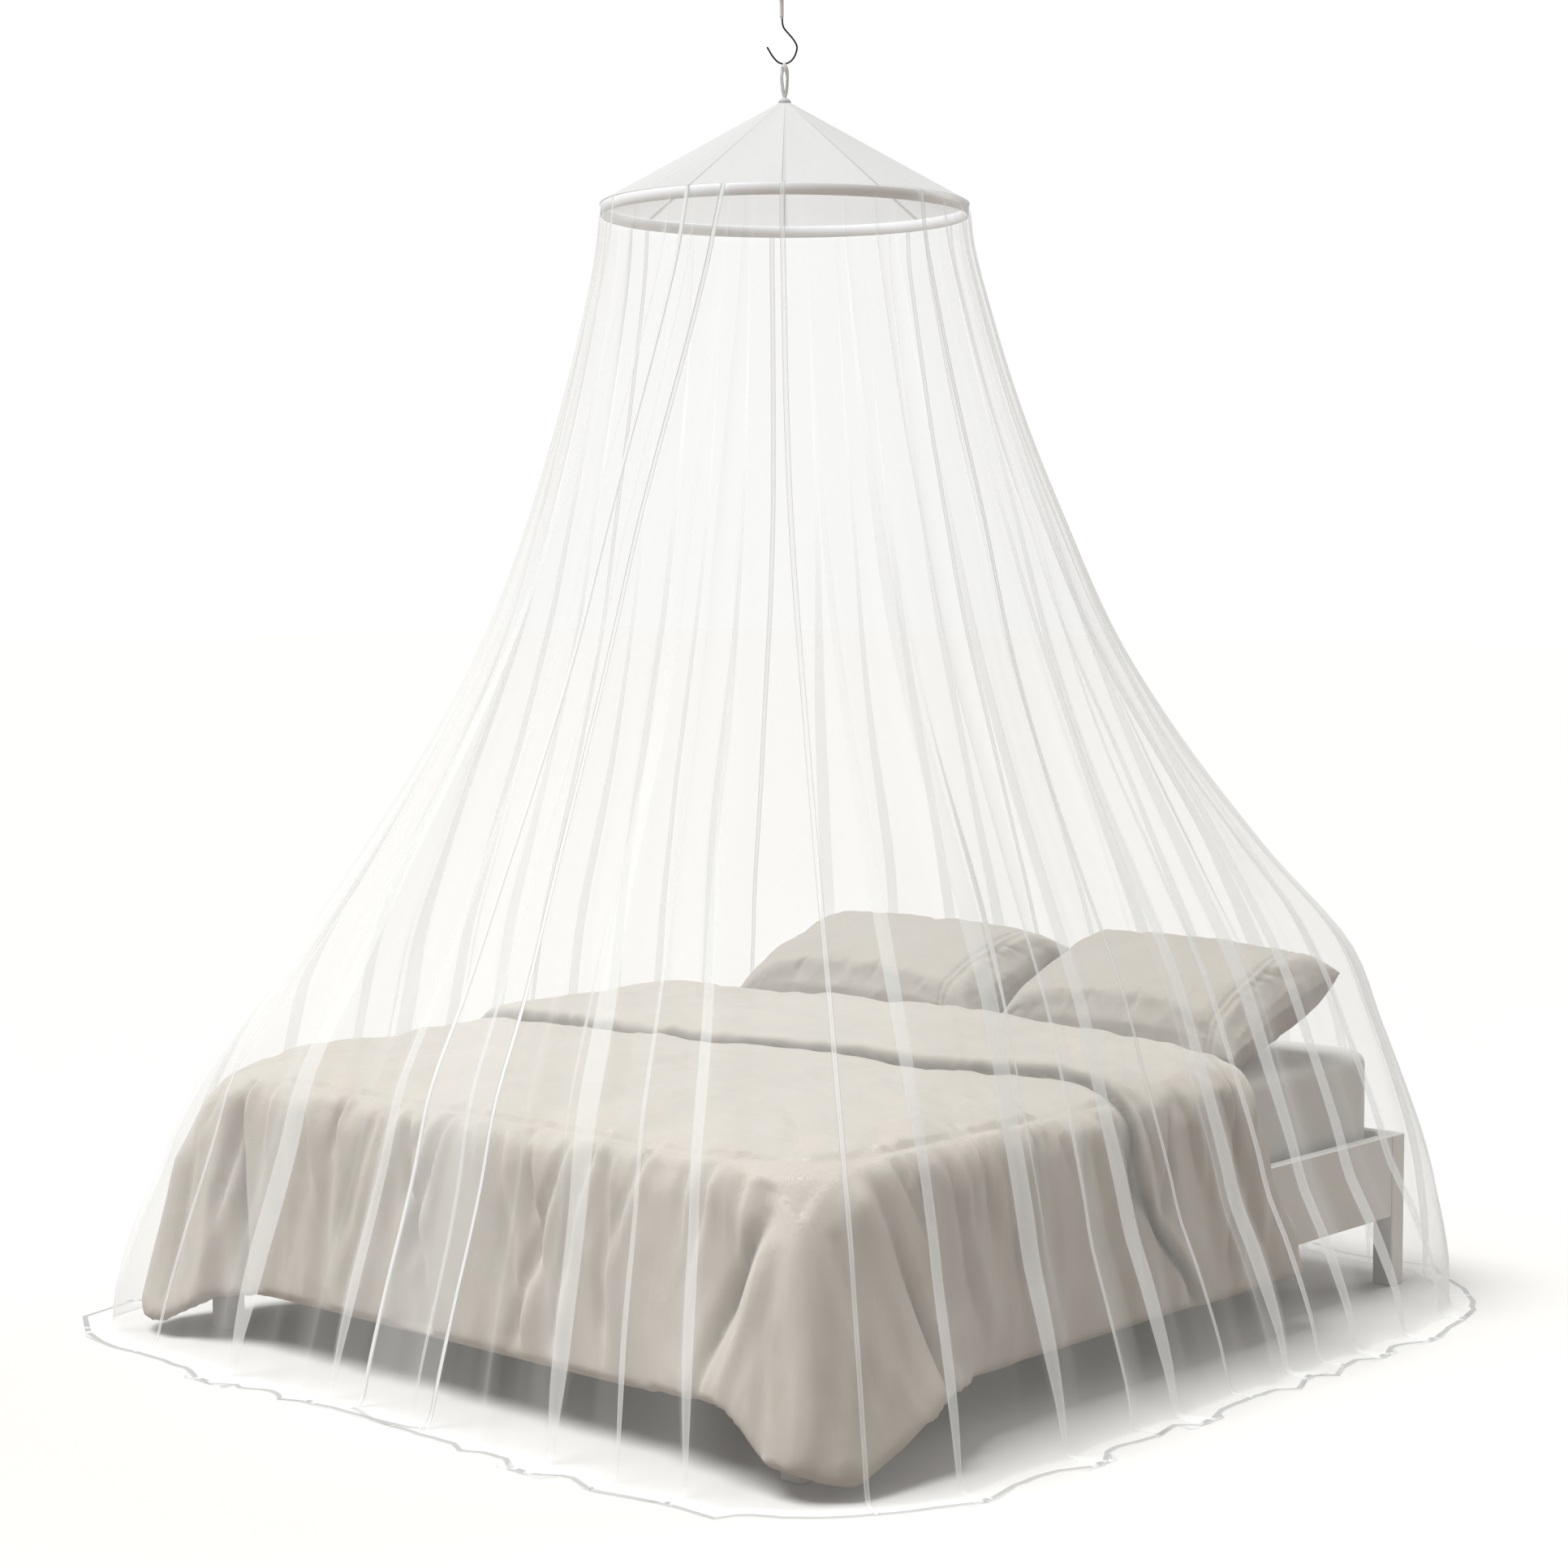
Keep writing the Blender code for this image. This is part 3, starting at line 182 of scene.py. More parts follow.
PANELS = (
    # name, seam at its start, seam at its end
    ("net_panel_left", "back_left", "left"),
    ("net_panel_foot_left", "left", "opening_edge"),
    ("net_panel_foot", "under_edge", "front"),
    ("net_panel_near", "front", "right"),
    ("net_panel_right", "right", "head_right"),
    ("net_panel_head_right", "head_right", "head"),
    ("net_panel_head", "head", "head_left"),
    ("net_panel_head_left", "head_left", "back"),
)
TAPES = (
    # name, seam, panel that it is sewn to
    ("seam_tape_left", "left", "net_panel_left"),
    ("seam_tape_front", "front", "net_panel_foot"),
    ("seam_tape_right", "right", "net_panel_near"),
    ("seam_tape_head_right", "head_right", "net_panel_right"),
    ("seam_tape_head", "head", "net_panel_head_right"),
    ("seam_tape_head_left", "head_left", "net_panel_head"),
    ("seam_tape_back", "back", "net_panel_head_left"),
)
ROOF_SEAMS = (-77.0, -48.8, -20.0, 30.0, 84.0, 132.0, 181.0, 232.0)
ROOF_NAMES = ("foot", "near", "right", "head_right", "head", "head_left", "left", "foot_left")
ROOF_SHADE = 0.78                       # the taut roof's colour and cover as shares of the wall's; the darker colour is painted shade
ROOF_COVER = 2.1

SKIRT_REACH = 0.046
FLOOR_BEND = 0.014
HEM_WIDTH = 0.012
HEM_RISE = 0.0012
FLOOR_CLOTH_Z = 0.0010
LAP_RISE = 0.0032
UNDER_SKIRT = 0.018                     # how far the under and the over edge of the way in reach out
OVER_SKIRT = 0.016
# Turn of the wall on to the floor: reach, height
BEND = ((0.0004, 0.036), (0.0016, 0.022), (0.0040, 0.0115), (0.0078, 0.0050), (0.0120, 0.0020))

HOOK_SIDE = Vector((0.744, 0.668, 0.0))
HOOK_FRONT = Vector((0.668, -0.744, 0.0))
HOOK_PATH = (
    # sideways from the hoop's middle, down from the top
    (-0.0054, 0.0), (-0.0046, 0.0130), (-0.0007, 0.0234), (0.0089, 0.0347), (0.0186, 0.0459),
    (0.0256, 0.0581), (0.0265, 0.0667), (0.0230, 0.0789), (0.0168, 0.0890), (0.0089, 0.0955),
    (-0.0010, 0.0985), (-0.0115, 0.0962), (-0.0191, 0.0905), (-0.0279, 0.0797), (-0.0340, 0.0693),
    (-0.0384, 0.0624),
)
HOOK_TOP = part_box("ceiling_cord")[0].z - 0.0003
WIRE_RADIUS = 0.0019
CORD_RADIUS = 0.0045


# ---------------------------------------------------------------- curves and shares
def ease(t):
    t = min(max(t, 0.0), 1.0)
    return t * t * (3 - 2 * t)


def bump(x, width):
    return exp(-(x / width)**2)


def curve_at(knots, values, x):
    """Smooth curve through the knots (Catmull-Rom), held level past both ends. The knots rise."""
    if x <= knots[0]:
        return values[0]
    if x >= knots[-1]:
        return values[-1]
    i = max(j for j in range(len(knots) - 1) if knots[j] <= x)

    def slope(j):
        low, high = max(j - 1, 0), min(j + 1, len(knots) - 1)
        return (values[high] - values[low]) / (knots[high] - knots[low])

    step = knots[i + 1] - knots[i]
    t = (x - knots[i]) / step
    return ((2 * t**3 - 3 * t**2 + 1) * values[i] + (t**3 - 2 * t**2 + t) * slope(i) * step
            + (3 * t**2 - 2 * t**3) * values[i + 1] + (t**3 - t**2) * slope(i + 1) * step)


@lru_cache(maxsize=None)
def level_sizes(z):
    rows = NET_LEVELS[::-1]
    return tuple(curve_at([row[0] for row in rows], [row[i] for row in rows], z) for i in range(1, 8))


@lru_cache(maxsize=None)
def seam_angle(seam, z):
    return radians(curve_at(SEAM_HEIGHTS[::-1], SEAM_ANGLES[seam][::-1], z))


# ---------------------------------------------------------------- the net's surface
def rounded_reach(angle, half_x, half_y, radius):
    """Distance from the middle to a rounded rectangle's edge, in one direction."""
    c, s = abs(cos(angle)), abs(sin(angle))
    px, py = half_x - radius, half_y - radius
    if c * py >= s * half_x:
        return half_x / c
    if s * px >= c * half_y:
        return half_y / s
    along = px * c + py * s
    return along + sqrt(max(along**2 - (px**2 + py**2 - radius**2), 0.0))


def outline_point(angle, z):
    """Point of the smooth hanging net at one angle and height."""
    half_w, half_f, half_h, r_fl, r_fr, r_h, to_bed = level_sizes(z)
    corner = r_h if sin(angle) > 0 else (r_fl if cos(angle) < 0 else r_fr)
    half_y = half_h if sin(angle) > 0 else half_f
    blend = ease((z - 0.9) / 1.3)
    corner = min(corner, half_w, half_y) * (1 - blend) + min(half_w, half_y) * blend
    reach = rounded_reach(angle, half_w, half_y, corner)
    return BED_MIDDLE + Vector((HOOP_OFFSET.x * (1 - to_bed) + reach * cos(angle),
                                HOOP_OFFSET.y * (1 - to_bed) + reach * sin(angle), z))


def along_outline(angle, z):
    return (outline_point(angle + 0.02, z) - outline_point(angle - 0.02, z)).normalized()


def wall_rows():
    """Rows of a wall from the hoop to the hem: height, share of the way over the floor, and hem layer."""
    lowest, last = 0.055, 58
    rows = [(WALL_TOP - (WALL_TOP - lowest) * k / last, 0.0, 0) for k in range(last + 1)]
    rows += [(z, 0.0, 0) for _, z in BEND]
    rows += [(0.0, t, 0) for t in (0.05, 0.22, 0.40, 0.58, 0.76, 0.90, 1.0)]
    rows += [(0.0, t, 1) for t in (1.0, 0.93, 0.0)]
    return rows


ROWS = wall_rows()
HEM_LAYER_ROWS = 3


def soft_push(angle_at_floor, z):
    """How far the broad folds and fine flutes stand out of the smooth net, never inwards."""
    total = 0.0
    for centre, width, depth, start, lean, _ in FOLDS:
        t = (angle_at_floor - centre) / width
        if abs(t) < 0.62:
            t *= 0.5 / 0.62
            crest = (t + 0.5) / (lean + 0.5) if t < lean else (0.5 - t) / (0.5 - lean)
            total += depth * ease(crest) * ease((start - z) / 1.1)
    flute = 0.5 + 0.5 * sin(angle_at_floor * 1.9 + 1.2 * sin(angle_at_floor * 0.37) + z * 1.1)
    drift = 0.5 + 0.5 * noise.noise(Vector((angle_at_floor * 0.22, z * 0.9, 4.0)))
    return total + 0.0024 * flute * ease((2.25 - z) / 0.9) + 0.004 * drift * ease((2.1 - z) / 1.3)


def hem_reach(angle_at_floor):
    total = SKIRT_REACH
    for centre, width, _, _, lean, reach in FOLDS:
        total += reach * bump(angle_at_floor - centre - lean * width * 0.5, width * 0.55)
    return total + 0.006 * noise.noise(Vector((angle_at_floor * 0.31, 7.0, 0.0)))


class Station:
    """One column of a wall panel: where it stands along the panel and how it is folded there."""

    def __init__(self, share, pleat=None, section=None, lap=0.0, skirt=None, quiet=1.0, sideways=0.0):
        self.share, self.pleat, self.section = share, pleat, section
        self.lap, self.skirt, self.quiet, self.sideways = lap, skirt, quiet, sideways

    def bunched(self, row):
        """Extra cover in the hem and in a pleat, and less over the hoop, above a pleat and on the floor.
        The hem's full share also draws it as a darker sewn line, which is painted shade.
        """
        height, over_floor, layer = ROWS[row]
        if layer:
            return 1.0
        z = max(height, 0.0)
        if z > HOOP_LOW.z:
            return -1.0
        if over_floor:
            return FLOOR_THINNER
        if not self.pleat or abs(self.section[1]) > 1.0:
            return 0.0
        return PLEAT_EXTRA * ease((self.pleat[2] - z) / 0.8) - 1.0


def station_points(station, start, end):
    """Points of one column, from the hoop down and out to the hem and its turned-up edge."""
    first, last = SEAM_ANGLES[start][-1], SEAM_ANGLES[end][-1]
    floor_angle = first + (last - first) * station.share
    skirt = hem_reach(floor_angle) if station.skirt is None else station.skirt
    points = []
    for height, over_floor, layer in ROWS:
        z = max(height, 0.0)
        angle = seam_angle(start, z) * (1 - station.share) + seam_angle(end, z) * station.share
        along = along_outline(angle, z)
        flat = Vector((along.y, -along.x, 0)).normalized()
        down = ease((0.05 - z) / 0.05)
        normal = (flat * (1 - down) + UP * down).normalized()
        sideways, layer_push = station.sideways, 0.0
        if station.pleat:
            pleat_angle, width, top, side = station.pleat
            _, fold_share, depth = station.section
            half = width / 2 * (PLEAT_LEAST + (1 - PLEAT_LEAST) * ease((top + 0.15 - z) / 2.0)**0.8)
            half *= 1 + PLEAT_UNEVEN * noise.noise(Vector((pleat_angle, z * 2.1, 9.0)))
            drift = PLEAT_DRIFT * noise.noise(Vector((pleat_angle, z * 1.7, 3.0)))
            sideways += drift * ease((2.0 - z) / 1.2) * ease(z / 0.3)
            half *= 1 - PLEAT_PINCH * bump(z, 0.12) * (1 - 1.5 * over_floor * (1 - layer))
            sideways += side * fold_share * half
            layer_push = depth * PLEAT_LAYER * ease((WALL_TOP + 0.004 - z) / 0.06)
        out = soft_push(floor_angle, z) * station.quiet
        out += station.lap * (0.004 + 0.009 * ease((WALL_TOP - z) / 0.08))
        reach = next((r for r, bend_z in BEND if bend_z == height), 0.0)
        if over_floor or layer:
            inward = HEM_WIDTH * (1.0 - over_floor) if layer else 0.0
            share = 1.0 if layer else over_floor
            reach = FLOOR_BEND + skirt * share - inward
            ripple = noise.noise(Vector((floor_angle * 0.5, share * 2.2, 2.0)))
            z = FLOOR_CLOTH_Z + 0.0035 * abs(ripple) * sin(pi * share) + layer * HEM_RISE
        lift = station.lap * LAP_RISE * ease((0.09 - z) / 0.09)
        place = outline_point(angle, max(height, 0.0))
        place.z = z
        points.append(place + along * sideways + flat * (reach + out) + normal * layer_push + UP * lift)
    return points


def panel_stations(name, start, end):
    """Columns across one panel: its edges, its pleats and the plain cloth between them."""
    first, last = SEAM_ANGLES[start][-1], SEAM_ANGLES[end][-1]
    over = name == "net_panel_foot_left"

    def lap_at(share):
        return ease((share - (UNDER_SHARE - 0.09)) / 0.06) if over else 0.0

    made = []
    taken = [pleat[0] for pleat in PLEATS[name]]
    count = int((last - first) / COLUMN_STEP)
    for k in range(count + 1):
        share = k / count
        angle = first + (last - first) * share
        if any(abs(angle - a) < PLEAT_ROOM for a in taken):
            continue
        from_seam = min(angle - first, last - angle)
        quiet = ease(from_seam / 2.5)
        skirt = None
        if name == "net_panel_foot" and from_seam == angle - first:
            quiet = 0.0 if share < 0.05 else quiet
            skirt = UNDER_SKIRT + (hem_reach(angle) - UNDER_SKIRT) * ease(share / 0.12)
        if over and share > UNDER_SHARE - 0.05:
            quiet *= 0.35
            rounded = sqrt(max(1 - (max(share - 0.80, 0.0) / 0.20)**2, 0.0))
            skirt = OVER_SKIRT + 0.020 * rounded
        made.append(Station(share, lap=lap_at(share), skirt=skirt, quiet=quiet))
    for pleat in PLEATS[name]:
        share = (pleat[0] - first) / (last - first)
        for section in PLEAT_SECTION:
            made.append(Station(share, pleat=pleat, section=section, lap=lap_at(share)))
    made.sort(key=lambda s: (s.share, s.section[0] * s.pleat[3] if s.pleat else 0.0))
    return made


# ---------------------------------------------------------------- making pieces
def object_from(bm, name):
    """New object in the scene from a bmesh, which is used up."""
    mesh = bpy.data.meshes.new(name)
    bm.to_mesh(mesh)
    bm.free()
    made = bpy.data.objects.new(name, mesh)
    bpy.context.scene.collection.objects.link(made)
    return made


def finish_piece(name, bm, material, replaces):
    """Turns a bmesh into a finished piece at the origin, riding on the frame."""
    piece = object_from(bm, name)
    piece.data.shade_smooth()
    piece.data.materials.append(material)
    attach(piece, "root")
    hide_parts(*replaces)
    return piece


def lay_grid(columns, closed=False, stitch=None):
    """Grid of cloth laid through columns of points, with its flat place in metres as a UV map.

    stitch(column, row) gives the share of extra thickness there, kept as an attribute of the same name. In
    the net material it also draws sewn lines darker, which is painted shade.
    """
    across, down = len(columns), len(columns[0])
    bm = bmesh.new()
    uv = bm.loops.layers.uv.new("cloth")
    bmesh.ops.create_grid(bm, x_segments=across - 1, y_segments=down - 1, size=1.0)
    sewn = bm.verts.layers.float.new("stitch") if stitch else None
    flat_x = [0.0]
    for a, b in zip(columns, columns[1:]):
        flat_x.append(flat_x[-1] + max((a[down * 3 // 4] - b[down * 3 // 4]).length, 0.0005))
    flat_y = [0.0]
    middle = columns[across // 2]
    for a, b in zip(middle, middle[1:]):
        flat_y.append(flat_y[-1] + max((a - b).length, 0.0005))
    cell = {}
    for vert in bm.verts:
        c = round((vert.co.x + 1) / 2 * (across - 1))
        r = round((1 - vert.co.y) / 2 * (down - 1))
        cell[vert] = (c, r)
        vert.co = columns[c][r]
        if sewn:
            vert[sewn] = stitch(c, r)
    for face in bm.faces:
        for loop in face.loops:
            c, r = cell[loop.vert]
            loop[uv].uv = (flat_x[c], flat_y[r])
    if closed:
        bmesh.ops.remove_doubles(bm, verts=bm.verts, dist=0.00002)
    return bm


# ---------------------------------------------------------------- shader node groups and materials
def feed(tree, node, inputs):
    """Fills a node's inputs, each named by label or number: links a socket in, or sets a plain value."""
    for label, value in inputs.items():
        if isinstance(value, bpy.types.NodeSocket):
            tree.links.new(value, node.inputs[label])
        elif value is not None:
            node.inputs[label].default_value = value


def add_node(tree, kind, inputs=None, **settings):
    node = tree.nodes.new("ShaderNode" + kind)
    for label, value in settings.items():
        setattr(node, label, value)
    feed(tree, node, inputs or {})
    return node


def math_node(tree, operation, a, b=None, c=None, clamp=False):
    return add_node(tree, "Math", {0: a, 1: b, 2: c}, operation=operation, use_clamp=clamp).outputs[0]


def noise_node(tree, vector, scale, detail, roughness=0.55):
    return add_node(tree, "TexNoise", {"Vector": vector, "Scale": scale, "Detail": detail,
                                       "Roughness": roughness}).outputs["Fac"]


def colour_mix(tree, factor, a, b):
    return add_node(tree, "Mix", {"Factor": factor, "A": a, "B": b}, data_type="RGBA").outputs["Result"]


def opaque(colour, share=1.0):
    return (*[c * share for c in colour], 1.0)


def new_group(name, inputs, outputs):
    """Empty node group: its inputs are (label, kind, value), its outputs (label, kind)."""
    group = bpy.data.node_groups.new(name, "ShaderNodeTree")
    for label, kind, value in inputs:
        socket = group.interface.new_socket(label, in_out="INPUT", socket_type="NodeSocket" + kind)
        if value is not None:
            socket.default_value = value
    for label, kind in outputs:
        group.interface.new_socket(label, in_out="OUTPUT", socket_type="NodeSocket" + kind)
    return group, group.nodes.new("NodeGroupInput").outputs, group.nodes.new("NodeGroupOutput")


def wave(tree, axis_value, pitch):
    """Row of round threads across one axis, one every pitch metres: 1 on a thread and 0 between two."""
    turned = math_node(tree, "MULTIPLY", axis_value, 2 * pi / pitch)
    return math_node(tree, "MULTIPLY_ADD", math_node(tree, "SINE", turned), 0.5, 0.5)


@lru_cache(maxsize=None)
def net_weave():
    """Threads of a fine knitted net, on the cloth's flat place."""
    group, given, end = new_group("Net weave", (("Cloth", "Vector", None), ("Uneven", "Float", 0.2)),
                                  (("Cover", "Float"), ("Height", "Float")))
    x, y, _ = add_node(group, "SeparateXYZ", {0: given["Cloth"]}).outputs
    left, right = math_node(group, "ADD", x, y), math_node(group, "SUBTRACT", x, y)
    threads = math_node(group, "MAXIMUM", wave(group, left, 0.0021), wave(group, right, 0.0021))
    cloudy = noise_node(group, given["Cloth"], 9.0, 1.0)
    shift = math_node(group, "MULTIPLY", math_node(group, "SUBTRACT", cloudy, 0.5), given["Uneven"])
    cover = math_node(group, "ADD", math_node(group, "MULTIPLY_ADD", threads, 0.5, 0.5), 0.62)
    feed(group, end, {"Cover": math_node(group, "ADD", cover, shift), "Height": threads})
    return group


@lru_cache(maxsize=None)
def linen_weave():
    """Plain weave with slubs and soft creases, and the slight change of colour that goes with them."""
    group, given, end = new_group(
        "Linen weave",
        (("Place", "Vector", None), ("Light", "Color", (1, 1, 1, 1)), ("Dark", "Color", (0.8, 0.8, 0.8, 1)),
         ("Pitch", "Float", 0.0011)),
        (("Colour", "Color"), ("Height", "Float"), ("Rough", "Float")))
    x, y, z = add_node(group, "SeparateXYZ", {0: given["Place"]}).outputs
    turn = math_node(group, "DIVIDE", 2 * pi, given["Pitch"])
    flat = math_node(group, "MULTIPLY_ADD", y, 0.83, x)
    slant = math_node(group, "MULTIPLY_ADD", math_node(group, "SUBTRACT", x, y), 0.45, z)
    warp = math_node(group, "SINE", math_node(group, "MULTIPLY", flat, turn))
    weft = math_node(group, "SINE", math_node(group, "MULTIPLY", slant, turn))
    weave = math_node(group, "MULTIPLY", warp, weft)
    slubs = noise_node(group, given["Place"], 210.0, 2.0)
    patch = noise_node(group, given["Place"], 7.0, 5.0, 0.6)
    mixed = math_node(group, "ADD", math_node(group, "MULTIPLY", slubs, 0.30),
                      math_node(group, "MULTIPLY", patch, 0.70), clamp=True)
    drawn = add_node(group, "VectorMath", {0: given["Place"], 1: (1.0, 1.0, 0.30)}, operation="MULTIPLY")
    creased = noise_node(group, drawn.outputs[0], 24.0, 5.0, 0.62)
    height = math_node(group, "ADD", math_node(group, "MULTIPLY", weave, 0.05),
                       math_node(group, "ADD", math_node(group, "MULTIPLY", slubs, 0.10), creased))
    rough = math_node(group, "ADD", math_node(group, "MULTIPLY", patch, 0.12), 0.80)
    feed(group, end, {"Colour": colour_mix(group, mixed, given["Dark"], given["Light"]),
                      "Height": height, "Rough": rough})
    return group


@lru_cache(maxsize=None)
def paint_grain():
    """Fine orange peel and faint brushing of a painted surface."""
    group, given, end = new_group(
        "Paint grain",
        (("Place", "Vector", None), ("Light", "Color", (1, 1, 1, 1)), ("Dark", "Color", (0.9, 0.9, 0.9, 1)),
         ("Rough", "Float", 0.4)),
        (("Colour", "Color"), ("Height", "Float"), ("Rough", "Float")))
    cloud = noise_node(group, given["Place"], 5.0, 4.0)
    cloudy = math_node(group, "MULTIPLY", cloud, 0.12)
    feed(group, end, {"Colour": colour_mix(group, cloud, given["Dark"], given["Light"]),
                      "Height": noise_node(group, given["Place"], 420.0, 2.0),
                      "Rough": math_node(group, "ADD", given["Rough"], cloudy)})
    return group


def new_material(name, inputs):
    """New material, its node tree and its shader, with the shader's inputs as given."""
    made = bpy.data.materials.new(name)
    made.use_nodes = True
    shader = made.node_tree.nodes["Principled BSDF"]
    feed(made.node_tree, shader, inputs)
    return made, made.node_tree, shader


def grained(tree, group, inputs):
    """Outputs of a group that is laid through the solid, in the object's own place."""
    place = add_node(tree, "TexCoord").outputs["Object"]
    return add_node(tree, "Group", {"Place": place, **inputs}, node_tree=group).outputs


def add_bump(tree, shader, height, strength, distance):
    raised = add_node(tree, "Bump", {"Height": height, "Strength": strength, "Distance": distance})
    feed(tree, shader, {"Normal": raised.outputs["Normal"]})


def net_material(name, colour, cover, stitched, glow=0.42, line=0.45):
    """Sheer net: each layer hides the share `cover` face on, and more where it turns away.

    stitched is the extra cover of sewn cloth. glow is painted light: an even emission that stands for the
    light that comes through the threads from behind, and line for the share of it that sewn lines stop.
    """
    made, tree, shader = new_material(name, {
        "Roughness": 0.85, "Specular IOR Level": 0.15, "Emission Color": opaque(colour),
        "Emission Strength": glow})
    made.cycles.emission_sampling = "NONE"
    flat = add_node(tree, "UVMap", uv_map="cloth").outputs["UV"]
    weave = add_node(tree, "Group", {"Cloth": flat, "Uneven": 0.18}, node_tree=net_weave()).outputs
    facing = add_node(tree, "LayerWeight", {"Blend": 0.5}).outputs["Facing"]
    upright = math_node(tree, "MAXIMUM", math_node(tree, "SUBTRACT", 1.0, facing), 0.10)
    sewn = add_node(tree, "Attribute", attribute_name="stitch").outputs["Fac"]
    seam = math_node(tree, "MULTIPLY_ADD", sewn, 2.5, -1.5, clamp=True)
    layer = math_node(tree, "ADD", math_node(tree, "MULTIPLY", weave["Cover"], cover),
                      math_node(tree, "MULTIPLY", sewn, stitched))
    through = math_node(tree, "POWER", math_node(tree, "SUBTRACT", 1.0, layer, clamp=True),
                        math_node(tree, "DIVIDE", 1.0, upright))
    hidden = math_node(tree, "SUBTRACT", 1.0, through, clamp=True)
    in_shadow = add_node(tree, "LightPath").outputs["Is Shadow Ray"]
    shade = math_node(tree, "SUBTRACT", 1.0, math_node(tree, "MULTIPLY", in_shadow, 0.75))
    # Base colour is the share left after the painted glow. Sewn lines are drawn darker, with the base colour
    # at 0.45 and the glow cut by line: painted shade of the threads.
    lit = [c * (1 - glow) for c in colour]
    feed(tree, shader, {"Base Color": colour_mix(tree, seam, opaque(lit), opaque(lit, 0.45)),
                        "Alpha": math_node(tree, "MULTIPLY", hidden, shade),
                        "Emission Strength": math_node(tree, "MULTIPLY_ADD", seam, -line * glow, glow)})
    add_bump(tree, shader, weave["Height"], 0.15, 0.0003)
    return made


def linen_material(name, light, dark, pitch=0.0011, crumple=0.6):
    made, tree, shader = new_material(name, {"Roughness": 0.85, "Sheen Weight": 0.25})
    weave = grained(tree, linen_weave(), {"Light": opaque(light), "Dark": opaque(dark), "Pitch": pitch})
    # Painted shade: where the crease attribute is set, the colour darkens towards 0.30 of the dark linen, in
    # the duvet's deep creases and under its turned-back edge.
    crease_shade = add_node(tree, "Attribute", attribute_name="crease").outputs["Fac"]
    feed(tree, shader, {"Base Color": colour_mix(tree, crease_shade, weave["Colour"], opaque(dark, 0.30)),
                        "Roughness": weave["Rough"]})
    add_bump(tree, shader, weave["Height"], crumple, 0.024)
    return made


def paint_material(name, light, dark, rough, peel=0.05):
    made, tree, shader = new_material(name, {"Roughness": rough})
    grain = grained(tree, paint_grain(), {"Light": opaque(light), "Dark": opaque(dark), "Rough": rough})
    feed(tree, shader, {"Base Color": grain["Colour"], "Roughness": grain["Rough"]})
    add_bump(tree, shader, grain["Height"], peel, 0.0005)
    return made


# ---------------------------------------------------------------- user settings
def colour_field(label, text, default):
    return FloatVectorProperty(name=label, description=text, subtype="COLOR", default=default,
                               min=0.0, max=1.0)


def number_field(label, text, default, low, high, **kind):
    return FloatProperty(name=label, description=text, default=default, min=low, max=high, **kind)


class NetSettings(bpy.types.PropertyGroup):
    """Cloth and trims of the net."""
    colour: colour_field("Net colour", "Colour of the net's threads", (0.86, 0.87, 0.86))
    cover: number_field("Cover", "Share of the light that one layer of net stops", 0.088, 0.01, 0.9,
                        subtype="FACTOR")
    tape_cover: number_field("Tape cover", "Share of the light that a seam tape stops", 0.34, 0.01, 1.0,
                             subtype="FACTOR")
    tape_width: number_field("Tape width", "Width of the seam tapes", 0.0105, 0.004, 0.03, unit="LENGTH")
    binding_width: number_field("Binding width", "Width of the binding on the free edges", 0.009, 0.004, 0.02,
                                unit="LENGTH")


class BeddingSettings(bpy.types.PropertyGroup):
    """Bedding on the mattress."""
    linen_light: colour_field("Linen, light", "Lighter colour of the linen", (0.735, 0.697, 0.630))
    linen_dark: colour_field("Linen, dark", "Darker colour of the linen", (0.60, 0.553, 0.480))
    duvet_voxel: number_field("Duvet detail", "Size of the duvet's mesh", 0.0105, 0.006, 0.05, unit="LENGTH")
    pillow_voxel: number_field("Pillow detail", "Size of the pillows' mesh before filling", 0.010, 0.005,
                               0.05, unit="LENGTH")
    pillow_frames: IntProperty(name="Filling steps", description="Simulation steps that plump a pillow",
                               default=18, min=1, max=60)


class StageSettings(bpy.types.PropertyGroup):
    """Floor, light and camera."""
    sky: number_field("Sky", "Strength of the even light from all round", 0.27, 0.0, 5.0)
    key: number_field("Key", "Strength of the soft key light", 4.1, 0.0, 20.0)
    fill: number_field("Fill", "Strength of the weak light along the shaded side", 0.80, 0.0, 20.0)


